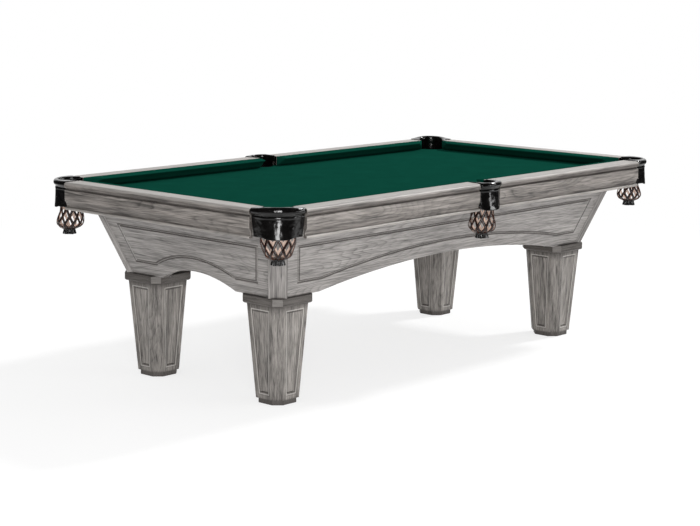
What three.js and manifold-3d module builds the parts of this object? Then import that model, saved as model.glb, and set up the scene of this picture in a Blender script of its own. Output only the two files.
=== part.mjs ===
// Eight-foot drop-pocket pool table: three slates on an arched, outward-leaning oak cabinet
// with canted corner posts, tapered panelled legs, moulded rails, rubber cushions and six
// leather pockets with hanging net bags.
//
// Millimetres. The origin is on the floor below the middle of the table, +X runs along the
// length, +Y across the width and +Z up. Profiles are drawn as (out, z): `out` is the distance
// outwards from the line of the cushion noses, z the height above the floor.

import * as THREE from 'three';
import { mergeVertices } from 'three/addons/utils/BufferGeometryUtils.js';
import Module from 'manifold-3d';

const wasm = await Module();
wasm.setup();

// ---------------------------------------------------------------- driving sizes

// Playing surface.
const playLength = 2235.2;
const playWidth = 1117.6;
const cornerMouth = 127;
const sideMouth = 133;
const cornerFacingAngle = 38;
const sideFacingAngle = 76;

// Bed.
const clothThickness = 1;
const slateThickness = 25.4;
const slateOverhang = 78;
const seamOffset = 398;

// Cushions.
const cushionDepth = 50.4;
const noseHeight = 36;
const noseRadius = 1.6;
const cushionBackLift = 1.5;

// Rails.
const railWidth = 82;
const railRise = 43;
const railNoseThickness = 30;
const railEdgeRadius = 12;
const shadowGrooveDepth = 10;
const railCoveHeight = 8;
const apronRebate = 23;
const cornerRailSetback = 21.6;
const sideRailSetback = 66;

// Aprons under the rails.
const apronHeight = 83.7;
const apronSetback = 2;
const apronCoveDepth = 11;
const apronCoveHeight = 26;
const apronBeadRadius = 5.5;

// Legs.
const footHeight = 21;
const footHalf = 68.5;
const footChamfer = 31.5;
const shaftHeight = 381;
const shaftBottomHalf = 75;
const shaftTopHalf = 100;
const shaftChamfer = 30;
const capHeight = 34;
const capHalf = 111;
const capChamfer = 29;
const capCove = 5;
const legPanelMargin = 17;
const legPanelDepth = 7;
const legPanelBevel = 13;
const legInset = 96.5;

// Cabinet: the insets lie between the outer faces of the rails and its top edge.
const cabinetEndInset = 134.8;
const cabinetSideInset = 134.5;
const cabinetHeight = 316.4;
const cabinetLean = 0.343;
const panelThickness = 27;
const sideArchSpan = 1550;
const sideArchRise = 73;
const endArchSpan = 432;
const endArchRise = 56;
const frameInset = 52;
const frameTop = 215;
const frameWidth = 14;
const frameDepth = 4;
const postFace = 52.5;
const postProud = 25;
const cornerBlock = 230;
const beamWidth = 38;
const beamHeight = 110;

// Pockets.
const cornerPocketOffset = 41;
const sidePocketOffset = 90;
const cornerThroat = 56;
const sideThroat = 50;
const cornerBulge = 75;
const sideBulge = 67;
const collarArcRadius = 127;
const collarAboveRail = 3.5;
const collarHeight = 29.5;
const collarArmWall = 5;
const collarLip = 6;
const linerWall = 4;
const ribHeight = 7;
const ribSetIn = 8;
const shieldHeight = 86;
const shieldWall = 4;
const shieldTuck = 3;
const shieldTongue = 6;
const shieldFoldAngle = 48;
const cornerShieldHalf = 95;
const cornerShieldFold = 62;
const sideShieldHalf = 64;
const sideShieldFold = 63;
const slateRelief = 2;
const netDrop = 4;
const cornerNetDepth = 176;
const sideNetDepth = 188;
const netWall = 3.5;
const netWaistDrop = 69;
const cornerNetWaistOut = 46;
const cornerNetWaistAcross = 68;
const sideNetWaist = 47;
const netBellyHeight = 55;
const netBelly = 55;
const netCupRadius = 29;
const netCupHeight = 25;

// Clearance between pieces that touch.
const gap = 0.3;

// ---------------------------------------------------------------- heights and half sizes

const legHeight = footHeight + shaftHeight;
const capBottom = legHeight + gap;
const cabinetBottom = capBottom + capHeight + gap;
const cabinetTop = cabinetBottom + cabinetHeight;
const slateBottom = cabinetTop + gap;
const slateTop = slateBottom + slateThickness;
const clothBottom = slateTop + gap;
const bedTop = clothBottom + clothThickness;
const railBottom = bedTop + gap;
const railTop = bedTop + railRise;
const railNoseBottom = railTop - railNoseThickness;
const apronTop = railNoseBottom - gap;
const apronBottom = apronTop - apronHeight;
const collarTop = railTop + collarAboveRail;
const collarBottom = collarTop - collarHeight;
const netTop = bedTop - netDrop;

const halfLength = playLength / 2;
const halfWidth = playWidth / 2;
const railOuter = cushionDepth + railWidth;
const rebateOut = railOuter - apronRebate;
const cabinetFlare = cabinetLean * cabinetHeight;
const cabinetHalfLength = halfLength + railOuter - cabinetEndInset - cabinetFlare;
const cabinetHalfWidth = halfWidth + railOuter - cabinetSideInset - cabinetFlare;

const radians = THREE.MathUtils.degToRad;

// ---------------------------------------------------------------- solids

// Turns every face outwards.
function facingOut(geometry) {
  const p = geometry.getAttribute('position');
  const index = geometry.index.array;
  const [a, b, c] = [new THREE.Vector3(), new THREE.Vector3(), new THREE.Vector3()];
  let volume = 0;
  for (let i = 0; i < index.length; i += 3) {
    a.fromBufferAttribute(p, index[i]);
    b.fromBufferAttribute(p, index[i + 1]);
    c.fromBufferAttribute(p, index[i + 2]);
    volume += a.dot(b.cross(c));
  }
  if (volume > 0) return geometry;
  const turned = [];
  for (let i = 0; i < index.length; i += 3) turned.push(index[i], index[i + 2], index[i + 1]);
  geometry.setIndex(turned);
  return geometry;
}

// Joins a library geometry's shared vertices and drops the slivers left on an axis.
function weld(geometry) {
  const bare = new THREE.BufferGeometry();
  bare.setAttribute('position', geometry.getAttribute('position'));
  if (geometry.index) bare.setIndex(geometry.index);
  const merged = mergeVertices(bare, 1e-4);
  const index = merged.index.array;
  const kept = [];
  for (let i = 0; i < index.length; i += 3) {
    const [a, b, c] = [index[i], index[i + 1], index[i + 2]];
    if (a !== b && b !== c && c !== a) kept.push(a, b, c);
  }
  merged.setIndex(kept);
  return facingOut(merged);
}

// Skins a list of equal rings. With `face`, the ring's own flat outline, both ends are
// filled; without it the last ring joins the first.
function skin(rings, face) {
  if (face && THREE.ShapeUtils.isClockWise(face)) {
    return skin(rings.map((ring) => [...ring].reverse()), [...face].reverse());
  }
  const count = rings[0].length;
  const index = [];
  const joins = face ? rings.length - 1 : rings.length;
  for (let i = 0; i < joins; i++) {
    const near = i * count;
    const far = ((i + 1) % rings.length) * count;
    for (let j = 0; j < count; j++) {
      const k = (j + 1) % count;
      index.push(near + j, near + k, far + k, near + j, far + k, far + j);
    }
  }
  if (face) {
    const last = (rings.length - 1) * count;
    for (const [a, b, c] of THREE.ShapeUtils.triangulateShape(face, [])) {
      index.push(a, c, b, last + a, last + b, last + c);
    }
  }
  const geometry = new THREE.BufferGeometry();
  const position = rings.flat().flatMap((p) => [p.x, p.y, p.z]);
  geometry.setAttribute('position', new THREE.Float32BufferAttribute(position, 3));
  geometry.setIndex(index);
  return facingOut(geometry);
}

// An outline swept between two places: `at(point, end)` puts an outline point in space.
function sweep(outline, at) {
  return skin([0, 1].map((end) => outline.map((p) => at(p, end))), outline);
}

// A flat outline in X and Y between two heights.
function plate(outline, low, high) {
  return sweep(outline, (p, end) => new THREE.Vector3(p.x, p.y, end ? high : low));
}

// A profile of radius and height turned about a vertical axis at x = centre.
function turned(profile, segments, centre = 0) {
  const lathe = new THREE.LatheGeometry(profile, segments);
  lathe.rotateX(Math.PI / 2);
  lathe.translate(centre, 0, 0);
  return weld(lathe);
}

function drum(radius, low, high, centre = 0) {
  const profile = [[0, low], [radius, low], [radius, high], [0, high]];
  return turned(profile.map(([r, z]) => new THREE.Vector2(r, z)), 32, centre);
}

function toSolid(geometry) {
  const vertProperties = new Float32Array(geometry.getAttribute('position').array);
  const triVerts = new Uint32Array(geometry.index.array);
  return new wasm.Manifold(new wasm.Mesh({ numProp: 3, vertProperties, triVerts }));
}

function toGeometry(solid) {
  const mesh = solid.getMesh();
  const geometry = new THREE.BufferGeometry();
  const position = new THREE.Float32BufferAttribute(Array.from(mesh.vertProperties), 3);
  geometry.setAttribute('position', position);
  geometry.setIndex(Array.from(mesh.triVerts));
  return geometry;
}

function cut(geometry, cutters) {
  let solid = toSolid(geometry);
  for (const cutter of cutters) solid = solid.subtract(toSolid(cutter));
  return toGeometry(solid);
}

// ---------------------------------------------------------------- scene

const table = new THREE.Group();

const finishes = {
  rail: { color: 0xa8a29b, roughness: 0.5, metalness: 0 },
  panel: { color: 0x958f88, roughness: 0.55, metalness: 0 },
  leg: { color: 0x87817b, roughness: 0.55, metalness: 0 },
  frame: { color: 0xb08d62, roughness: 0.7, metalness: 0 },
  slate: { color: 0x4c5054, roughness: 0.6, metalness: 0 },
  cloth: { color: 0x0e4739, roughness: 0.95, metalness: 0 },
  cushion: { color: 0x0b3a2e, roughness: 0.95, metalness: 0 },
  leather: { color: 0x141313, roughness: 0.3, metalness: 0 },
  net: { color: 0x2a1f1a, roughness: 0.6, metalness: 0 },
};

// Adds one named piece to a group.
function piece(group, name, geometry, finish) {
  const mesh = new THREE.Mesh(geometry, new THREE.MeshStandardMaterial(finishes[finish]));
  mesh.name = name;
  group.add(mesh);
  return mesh;
}

// A group turned about Z and set down at x, y.
function station(turn, x = 0, y = 0) {
  const group = new THREE.Group();
  group.rotation.z = turn;
  group.position.set(x, y, 0);
  table.add(group);
  return group;
}

// The four corners: name, side along X, side along Y and the turn that brings the local
// +X, +Y corner there.
const corners = [
  { name: 'back_right', x: 1, y: 1, turn: 0 },
  { name: 'back_left', x: -1, y: 1, turn: Math.PI / 2 },
  { name: 'front_left', x: -1, y: -1, turn: Math.PI },
  { name: 'front_right', x: 1, y: -1, turn: -Math.PI / 2 },
];

// ---------------------------------------------------------------- legs

function octagon(half, chamfer, z) {
  const near = half - chamfer;
  const places = [
    [half, -near], [half, near], [near, half], [-near, half],
    [-half, near], [-half, -near], [-near, -half], [near, -half],
  ];
  return places.map(([x, y]) => new THREE.Vector3(x, y, z));
}

function stacked(rings) {
  return skin(rings, rings[0].map((p) => new THREE.Vector2(p.x, p.y)));
}

function shaftHalfAt(z) {
  return THREE.MathUtils.mapLinear(z, footHeight, legHeight, shaftBottomHalf, shaftTopHalf);
}

// The sunk panel of one shaft face inside its ovolo moulding, as [share of the moulding's
// width, share of its depth], from just outside the face.
function legPanelCutter(turn) {
  const ovolo = [[-0.1, -0.2], [0, 0], [0.04, 0.2], [0.45, 0.28], [0.75, 0.48], [0.93, 0.75], [1, 1]];
  const rings = ovolo.map(([across, deep]) => {
    const margin = legPanelMargin + across * legPanelBevel;
    const sunk = deep * legPanelDepth;
    const [low, high] = [footHeight + margin, legHeight - margin];
    const corner = (side, z) => {
      const reach = shaftHalfAt(z) - shaftChamfer - margin;
      return new THREE.Vector3(shaftHalfAt(z) - sunk, side * reach, z);
    };
    return [corner(-1, low), corner(1, low), corner(1, high), corner(-1, high)];
  });
  const cutter = skin(rings, rings[0].map((p) => new THREE.Vector2(p.y, p.z)));
  return cutter.rotateZ(turn);
}

function legGeometry() {
  const body = stacked([
    octagon(footHalf - 2, footChamfer, 0),
    octagon(footHalf, footChamfer, 2),
    octagon(footHalf, footChamfer, footHeight),
    octagon(shaftBottomHalf, shaftChamfer, footHeight),
    octagon(shaftTopHalf, shaftChamfer, legHeight),
  ]);
  return cut(body, [0, 1, 2, 3].map((quarter) => legPanelCutter((quarter * Math.PI) / 2)));
}

function capGeometry() {
  return stacked([
    octagon(capHalf - capCove, capChamfer, capBottom),
    octagon(capHalf, capChamfer, capBottom + capCove),
    octagon(capHalf, capChamfer, capBottom + capHeight - 2),
    octagon(capHalf - 2, capChamfer, capBottom + capHeight),
  ]);
}

for (const corner of corners) {
  const x = corner.x * (cabinetHalfLength - legInset);
  const y = corner.y * (cabinetHalfWidth - legInset);
  const group = station(corner.turn, x, y);
  piece(group, `leg_${corner.name}`, legGeometry(), 'leg');
  piece(group, `leg_cap_${corner.name}`, capGeometry(), 'leg');
}

// ---------------------------------------------------------------- cabinet

// The outline of an arched panel in X and height above the cabinet's bottom, moved inwards
// by `inset` all round but at its top.
function archedOutline(half, span, rise, inset, top) {
  const radius = (span * span / 4 + rise * rise) / (2 * rise);
  const centre = rise - radius;
  const slant = inset * Math.hypot(1, cabinetLean);
  const reach = Math.acos((inset - centre) / (radius + inset));
  const outline = [new THREE.Vector2(-(half + cabinetLean * inset - slant), inset)];
  const steps = 16;
  for (let i = 0; i <= steps; i++) {
    const angle = reach * (2 * i / steps - 1);
    const arc = radius + inset;
    outline.push(new THREE.Vector2(arc * Math.sin(angle), centre + arc * Math.cos(angle)));
  }
  outline.push(new THREE.Vector2(half + cabinetLean * inset - slant, inset));
  outline.push(new THREE.Vector2(half + cabinetLean * top - slant, top));
  outline.push(new THREE.Vector2(-(half + cabinetLean * top - slant), top));
  return outline;
}

// The moulded frame of a panel: a routed channel with a bead left standing in it, as
// [share of the width, share of the depth].
function frameCutter(half, span, rise) {
  const section = [
    [0, -0.3], [0, 0], [0.2, 1], [0.36, 1], [0.5, 0.3], [0.64, 1], [0.8, 1], [1, 0], [1, -0.3],
  ];
  const rings = section.map(([across, depth]) => {
    const inset = frameInset + across * frameWidth;
    const top = frameTop - across * frameWidth;
    const outline = archedOutline(half, span, rise, inset, top);
    return outline.map((p) => new THREE.Vector3(p.x, -depth * frameDepth, p.y));
  });
  return skin(rings);
}

// A panel with its outer face at y = 0, leaning outwards as it rises.
function panelGeometry(half, span, rise) {
  const blank = sweep(
    archedOutline(half, span, rise, 0, cabinetHeight),
    (p, end) => new THREE.Vector3(p.x, end ? 0 : -panelThickness, p.y),
  );
  const panel = cut(blank, [frameCutter(half, span, rise)]);
  const lean = new THREE.Matrix4().makeShear(0, 0, 0, 0, 0, cabinetLean);
  const leaning = panel.applyMatrix4(lean);
  return leaning.translate(0, 0, cabinetBottom);
}

const sidePanel = [cabinetHalfLength, cabinetHalfWidth, sideArchSpan, sideArchRise];
const endPanel = [cabinetHalfWidth, cabinetHalfLength, endArchSpan, endArchRise];
const panels = [
  ['cabinet_side_back', 0, sidePanel],
  ['cabinet_side_front', Math.PI, sidePanel],
  ['cabinet_end_left', Math.PI / 2, endPanel],
  ['cabinet_end_right', -Math.PI / 2, endPanel],
];
for (const [name, turn, [half, distance, span, rise]] of panels) {
  const geometry = panelGeometry(half - postFace - gap, span, rise);
  piece(station(turn), name, geometry.translate(0, distance, 0), 'panel');
}

// A canted corner post: a face plank across the corner, standing proud of the panels, with
// the corner block that takes the leg bolt behind it.
function postGeometry() {
  const proud = postProud / Math.SQRT2;
  const behind = panelThickness + gap;
  const outline = [
    [proud, proud - postFace], [proud - postFace, proud],
    [-postFace, 0], [-postFace, -behind], [-behind - cornerBlock, -behind],
    [-behind, -behind - cornerBlock], [-behind, -postFace], [0, -postFace],
  ].map(([x, y]) => new THREE.Vector2(x, y));
  return sweep(outline, (p, end) => {
    const lean = end * cabinetFlare;
    return new THREE.Vector3(p.x + lean, p.y + lean, cabinetBottom + end * cabinetHeight);
  });
}

for (const corner of corners) {
  const group = station(corner.turn, corner.x * cabinetHalfLength, corner.y * cabinetHalfWidth);
  piece(group, `corner_post_${corner.name}`, postGeometry(), 'panel');
}

// A beam along X between two leaning panels, with halving notches at `laps`, cut from its
// top or from its bottom.
function beamGeometry(half, laps, fromTop) {
  const low = cabinetTop - beamHeight;
  const middle = cabinetTop - beamHeight / 2;
  const reach = (z) => half + cabinetLean * (z - cabinetBottom) - panelThickness - gap;
  const outline = [
    [-reach(low), low], [reach(low), low],
    [reach(cabinetTop), cabinetTop], [-reach(cabinetTop), cabinetTop],
  ].map(([x, z]) => new THREE.Vector2(x, z));
  const side = beamWidth / 2;
  const beam = sweep(outline, (p, end) => new THREE.Vector3(p.x, end ? side : -side, p.y));
  const notches = laps.map((x) => {
    const box = new THREE.BoxGeometry(beamWidth + 2 * gap, beamWidth + 2, beamHeight);
    const z = fromTop ? middle - gap / 2 + beamHeight / 2 : middle + gap / 2 - beamHeight / 2;
    return weld(box.translate(x, 0, z));
  });
  return cut(beam, notches);
}

const centreBeam = beamGeometry(cabinetHalfLength, [-seamOffset, seamOffset], true);
piece(table, 'centre_beam', centreBeam, 'frame');
for (const [name, side] of [['left', -1], ['right', 1]]) {
  const group = station(Math.PI / 2, side * seamOffset, 0);
  piece(group, `cross_beam_${name}`, beamGeometry(cabinetHalfWidth, [0], false), 'frame');
}

// ---------------------------------------------------------------- pockets, in plan

// Where the wood of a rail ends, measured along the rail from the corner of the nose lines
// or from the middle of the side pocket.
const cornerPointBack = cornerMouth / Math.SQRT2;
const cornerFacingRun = 1 / Math.tan(radians(cornerFacingAngle));
const sideFacingRun = 1 / Math.tan(radians(sideFacingAngle));

function cornerBack(out) {
  if (out <= cushionDepth) return cornerPointBack - cornerFacingRun * out;
  const inner = cornerPointBack - cornerFacingRun * cushionDepth;
  return THREE.MathUtils.mapLinear(out, cushionDepth, railOuter, inner, cornerRailSetback);
}

function sideBack(out) {
  if (out <= cushionDepth) return sideMouth / 2 - sideFacingRun * out;
  const inner = sideMouth / 2 - sideFacingRun * cushionDepth;
  return THREE.MathUtils.mapLinear(out, cushionDepth, railOuter, inner, sideRailSetback);
}

// A rail end in a pocket's own frame, where +X points out of the table.
function cornerRailEnd(out) {
  const along = -cornerBack(out) - cornerPocketOffset;
  const across = out - cornerPocketOffset;
  return new THREE.Vector2((along + across) / Math.SQRT2, (across - along) / Math.SQRT2);
}

function sideRailEnd(out) {
  return new THREE.Vector2(out - sidePocketOffset, sideBack(out));
}

const cornerPocket = {
  railEnd: cornerRailEnd,
  throat: cornerThroat,
  bulge: cornerBulge,
  shieldHalf: cornerShieldHalf,
  shieldFold: cornerShieldFold,
  waist: [cornerNetWaistOut, cornerNetWaistAcross],
  netDepth: cornerNetDepth,
};
const sidePocket = {
  railEnd: sideRailEnd,
  throat: sideThroat,
  bulge: sideBulge,
  shieldHalf: sideShieldHalf,
  shieldFold: sideShieldFold,
  waist: [sideNetWaist, sideNetWaist],
  netDepth: sideNetDepth,
};

const pocketX = halfLength + cornerPocketOffset;
const pocketY = halfWidth + cornerPocketOffset;
const pockets = corners.map((corner) => ({
  ...cornerPocket,
  name: corner.name,
  x: corner.x * pocketX,
  y: corner.y * pocketY,
  turn: corner.turn + Math.PI / 4,
}));
const sidePocketY = halfWidth + sidePocketOffset;
pockets.push({ ...sidePocket, name: 'back_middle', x: 0, y: sidePocketY, turn: Math.PI / 2 });
pockets.push({ ...sidePocket, name: 'front_middle', x: 0, y: -sidePocketY, turn: -Math.PI / 2 });

// ---------------------------------------------------------------- bed

function rectangle(x0, x1, y0, y1) {
  return [[x0, y0], [x1, y0], [x1, y1], [x0, y1]].map(([x, y]) => new THREE.Vector2(x, y));
}

function bedPiece(x0, x1, low, high) {
  const y = halfWidth + slateOverhang;
  const cutters = pockets.map((pocket) => {
    const hole = drum(pocket.throat + linerWall + slateRelief, low - 1, high + 1);
    return hole.translate(pocket.x, pocket.y, 0);
  });
  return cut(plate(rectangle(x0, x1, -y, y), low, high), cutters);
}

const bedEnd = halfLength + slateOverhang;
const seam = gap / 2;
const slates = [
  ['left', -bedEnd, -seamOffset - seam],
  ['middle', -seamOffset + seam, seamOffset - seam],
  ['right', seamOffset + seam, bedEnd],
];
for (const [name, x0, x1] of slates) {
  piece(table, `slate_${name}`, bedPiece(x0, x1, slateBottom, slateTop), 'slate');
}
piece(table, 'bed_cloth', bedPiece(-bedEnd, bedEnd, clothBottom, bedTop), 'cloth');

// ---------------------------------------------------------------- rails, cushions, aprons

function railProfile() {
  const shape = new THREE.Shape();
  const groove = railOuter - shadowGrooveDepth;
  const coveTop = railNoseBottom + railCoveHeight;
  const centre = [railOuter - railEdgeRadius, railTop - railEdgeRadius];
  shape.moveTo(cushionDepth, railBottom);
  shape.lineTo(rebateOut, railBottom);
  shape.lineTo(rebateOut, railNoseBottom);
  shape.lineTo(groove, railNoseBottom);
  shape.quadraticCurveTo(groove + 1, coveTop - 1, railOuter, coveTop);
  shape.lineTo(railOuter, railTop - railEdgeRadius);
  shape.absarc(...centre, railEdgeRadius, 0, Math.PI / 2, false);
  shape.lineTo(cushionDepth, railTop);
  return shape.getPoints(5);
}

function cushionProfile() {
  const shape = new THREE.Shape();
  const back = cushionDepth - gap;
  const nose = bedTop + noseHeight;
  shape.moveTo(back, railBottom + cushionBackLift);
  shape.lineTo(back, railTop - gap);
  shape.lineTo(noseRadius, nose + noseRadius);
  shape.absarc(noseRadius, nose, noseRadius, Math.PI / 2, 1.3 * Math.PI, false);
  shape.lineTo(back * 0.72, railBottom + cushionBackLift + 5);
  return shape.getPoints(4);
}

function apronProfile() {
  const shape = new THREE.Shape();
  const back = rebateOut + gap;
  const face = railOuter - apronSetback;
  const bead = face - apronBeadRadius;
  const coveBottom = apronBottom + 2 * apronBeadRadius + 1;
  const coveTop = coveBottom + apronCoveHeight;
  shape.moveTo(back, apronBottom);
  shape.lineTo(bead, apronBottom);
  const beadHeight = apronBottom + apronBeadRadius;
  shape.absarc(bead, beadHeight, apronBeadRadius, -Math.PI / 2, Math.PI / 2.6, false);
  const coveOut = face - apronCoveDepth;
  shape.lineTo(coveOut, coveBottom + 1);
  shape.quadraticCurveTo(coveOut + 1, coveTop - apronCoveHeight / 3, face, coveTop);
  shape.lineTo(face, apronTop - 5);
  shape.quadraticCurveTo(face, apronTop, railOuter - shadowGrooveDepth, apronTop);
  shape.lineTo(back, apronTop);
  return shape.getPoints(6);
}

// A moulding along X whose nose line lies at y = base, from start(out) to end(out).
function moulding(profile, base, start, end) {
  return sweep(profile, (p, last) => {
    const stop = last ? end : start;
    return new THREE.Vector3(stop(p.x), base + p.x, p.y);
  });
}

const sections = [
  ['rail', railProfile(), 'rail'],
  ['cushion', cushionProfile(), 'cushion'],
  ['apron', apronProfile(), 'rail'],
];

const endRuns = [['left', Math.PI / 2], ['right', -Math.PI / 2]];
const sideRuns = [['back', 0, 'left', 'right'], ['front', Math.PI, 'right', 'left']];
const endStop = (out) => halfWidth - cornerBack(out);
const farStop = (out) => halfLength - cornerBack(out);
const negative = (stop) => (out) => -stop(out);

for (const [kind, profile, finish] of sections) {
  for (const [name, turn] of endRuns) {
    const run = moulding(profile, halfLength, negative(endStop), endStop);
    piece(station(turn), `${kind}_end_${name}`, run, finish);
  }
  for (const [name, turn, low, high] of sideRuns) {
    const group = station(turn);
    const first = moulding(profile, halfWidth, negative(farStop), negative(sideBack));
    const second = moulding(profile, halfWidth, sideBack, farStop);
    piece(group, `${kind}_${name}_${low}`, first, finish);
    piece(group, `${kind}_${name}_${high}`, second, finish);
  }
}

// ---------------------------------------------------------------- pocket leathers and nets

// The room between two rail ends, kept `gap` clear of both, from where an arm's wall is
// thick enough out past the collar.
function betweenRails(pocket, low, high) {
  const inner = pocket.railEnd(cushionDepth);
  const along = pocket.railEnd(railOuter).sub(inner).normalize();
  const clear = new THREE.Vector2(along.y, -along.x).multiplyScalar(gap);
  const from = inner.clone().add(clear);
  const tip = (pocket.throat + collarArmWall - from.y) / along.y;
  const reach = 3 * collarArcRadius;
  const start = from.clone().addScaledVector(along, Math.max(tip, 0));
  const end = from.clone().addScaledVector(along, reach);
  const mirror = (p) => new THREE.Vector2(p.x, -p.y);
  return plate([start, mirror(start), mirror(end), end], low, high);
}

// The open throat: a half circle with a straight way in from the bed, flared at the top.
function throatCutter(pocket) {
  const rim = [
    [0, netTop - 1], [0, collarTop - collarLip], [0.3, collarTop - 0.35 * collarLip],
    [1, collarTop], [1, collarTop + 1],
  ];
  const rings = rim.map(([flare, z]) => {
    const radius = pocket.throat + flare * collarLip;
    const outline = [new THREE.Vector3(-3 * collarArcRadius, -radius, z)];
    for (let i = 0; i <= 14; i++) {
      const angle = Math.PI * (i / 14 - 0.5);
      outline.push(new THREE.Vector3(radius * Math.cos(angle), radius * Math.sin(angle), z));
    }
    outline.push(new THREE.Vector3(-3 * collarArcRadius, radius, z));
    return outline;
  });
  return stacked(rings);
}

// The collar's turned outside: a fat roll that overhangs a rib set in below it.
function collarDisc(pocket) {
  const r = collarArcRadius;
  const rib = r - ribSetIn;
  const seam = collarBottom + ribHeight;
  const profile = [
    [0, collarBottom], [rib - 1, collarBottom], [rib, collarBottom + 2], [rib, seam - 2],
    [rib - 2, seam], [r - 5, seam + 0.5], [r - 1.5, seam + 3], [r, seam + 8], [r, collarTop - 10],
    [r - 2.5, collarTop - 4], [r - 8, collarTop], [0, collarTop],
  ];
  return turned(profile.map(([x, z]) => new THREE.Vector2(x, z)), 48, pocket.bulge - r);
}

function collarGeometry(pocket) {
  const linerBottom = netTop + gap;
  const liner = drum(pocket.throat + linerWall, linerBottom, collarBottom + 2);
  const body = toSolid(collarDisc(pocket)).add(toSolid(liner));
  const trimmed = body.intersect(toSolid(betweenRails(pocket, linerBottom - 1, collarTop + 1)));
  return toGeometry(trimmed.subtract(toSolid(throatCutter(pocket))));
}

// One half of a shield in plan, from the middle of its bowed face round the fold to the end
// of its wing; `wall` in from the outer side.
function shieldEdge(pocket, wall) {
  const radius = collarArcRadius - ribSetIn;
  const centre = pocket.bulge - collarArcRadius;
  const reach = Math.asin(pocket.shieldFold / radius);
  const places = [];
  for (let i = 0; i <= 6; i++) {
    const angle = (reach * i) / 6;
    const r = radius - wall;
    places.push(new THREE.Vector2(centre + r * Math.cos(angle), r * Math.sin(angle)));
  }
  const fold = places.at(-1);
  const wing = pocket.shieldHalf - pocket.shieldFold;
  const along = new THREE.Vector2(-Math.tan(radians(shieldFoldAngle)), 1);
  places.push(fold.clone().addScaledVector(along, wing));
  return places;
}

// The leather shield below the collar: a bowed face folded back into two wings, trimmed to
// a tongue.
function shieldGeometry(pocket) {
  const top = collarBottom - gap;
  const bottom = top - shieldHeight;
  const mirror = (p) => new THREE.Vector2(p.x, -p.y);
  const outer = shieldEdge(pocket, 0);
  const inner = shieldEdge(pocket, shieldWall);
  const plan = [
    ...outer.slice(1).reverse().map(mirror), ...outer,
    ...inner.slice(1).reverse(), ...inner.map(mirror),
  ];
  const sheet = sweep(plan, (p, end) => {
    const tuck = end ? 0 : shieldTuck;
    return new THREE.Vector3(p.x - tuck, p.y, end ? top : bottom - 1);
  });
  const half = pocket.shieldHalf;
  const fold = 0.96 * pocket.shieldFold;
  const wing = bottom + shieldTongue;
  const shape = new THREE.Shape();
  shape.moveTo(-half - 1, top + 1);
  shape.lineTo(-half + 2, wing);
  shape.lineTo(-fold, wing);
  shape.quadraticCurveTo(-0.9 * fold, bottom, -0.5 * fold, bottom);
  shape.lineTo(0.5 * fold, bottom);
  shape.quadraticCurveTo(0.9 * fold, bottom, fold, wing);
  shape.lineTo(half - 2, wing);
  shape.lineTo(half + 1, top + 1);
  const [back, front] = [-collarArcRadius, collarArcRadius];
  const trim = sweep(shape.getPoints(4), (p, end) => new THREE.Vector3(end ? front : back, p.x, p.y));
  return toGeometry(toSolid(sheet).intersect(toSolid(trim)));
}

// The net bag: an open mouth under the liner, a waist drawn out between the rail ends, a
// full belly and a gathered cup. Rings are [half width outwards, half width across, z].
function netGeometry(pocket) {
  const bottom = netTop - pocket.netDepth;
  const cup = bottom + netCupHeight;
  const mouth = pocket.throat + linerWall;
  const slateUnder = slateBottom - gap;
  const side = new THREE.CatmullRomCurve3([
    [mouth, mouth, netTop], [mouth - 1, mouth, slateUnder],
    [...pocket.waist, netTop - netWaistDrop], [netBelly, netBelly, bottom + netBellyHeight],
    [netCupRadius + 8, netCupRadius + 8, cup + 4],
  ].map((ring) => new THREE.Vector3(...ring))).getPoints(8);
  const neck = netCupRadius - 1.5;
  const outside = [
    [netCupRadius, netCupRadius, bottom], [neck, neck, bottom + netCupHeight / 2],
    [netCupRadius, netCupRadius, cup], ...side.toReversed().map((p) => p.toArray()),
  ];
  const floor = cup + netWall;
  const inside = side.map((p) => [p.x - netWall, p.y - netWall, Math.max(p.z, floor)]);
  const rings = [...outside, ...inside].map(([out, across, z]) => {
    const ring = [];
    for (let i = 0; i < 20; i++) {
      const angle = (i / 20) * 2 * Math.PI;
      ring.push(new THREE.Vector3(out * Math.cos(angle), across * Math.sin(angle), z));
    }
    return ring;
  });
  return stacked(rings);
}

for (const pocket of pockets) {
  const group = station(pocket.turn, pocket.x, pocket.y);
  piece(group, `pocket_collar_${pocket.name}`, collarGeometry(pocket), 'leather');
  piece(group, `pocket_shield_${pocket.name}`, shieldGeometry(pocket), 'leather');
  piece(group, `pocket_net_${pocket.name}`, netGeometry(pocket), 'net');
}

export default table;
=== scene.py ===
"""Looks of an eight-foot drop-pocket pool table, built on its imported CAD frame.

Metres, +Z up, the same frame as the CAD: the table stands on z = 0 with its length along X.
Each operator makes one kind of piece; main() calls them in order.
"""

import math

import bmesh
import bpy
import numpy as np
from bpy.props import FloatProperty, FloatVectorProperty, IntProperty, PointerProperty
from mathutils import Matrix, Vector, noise


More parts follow.
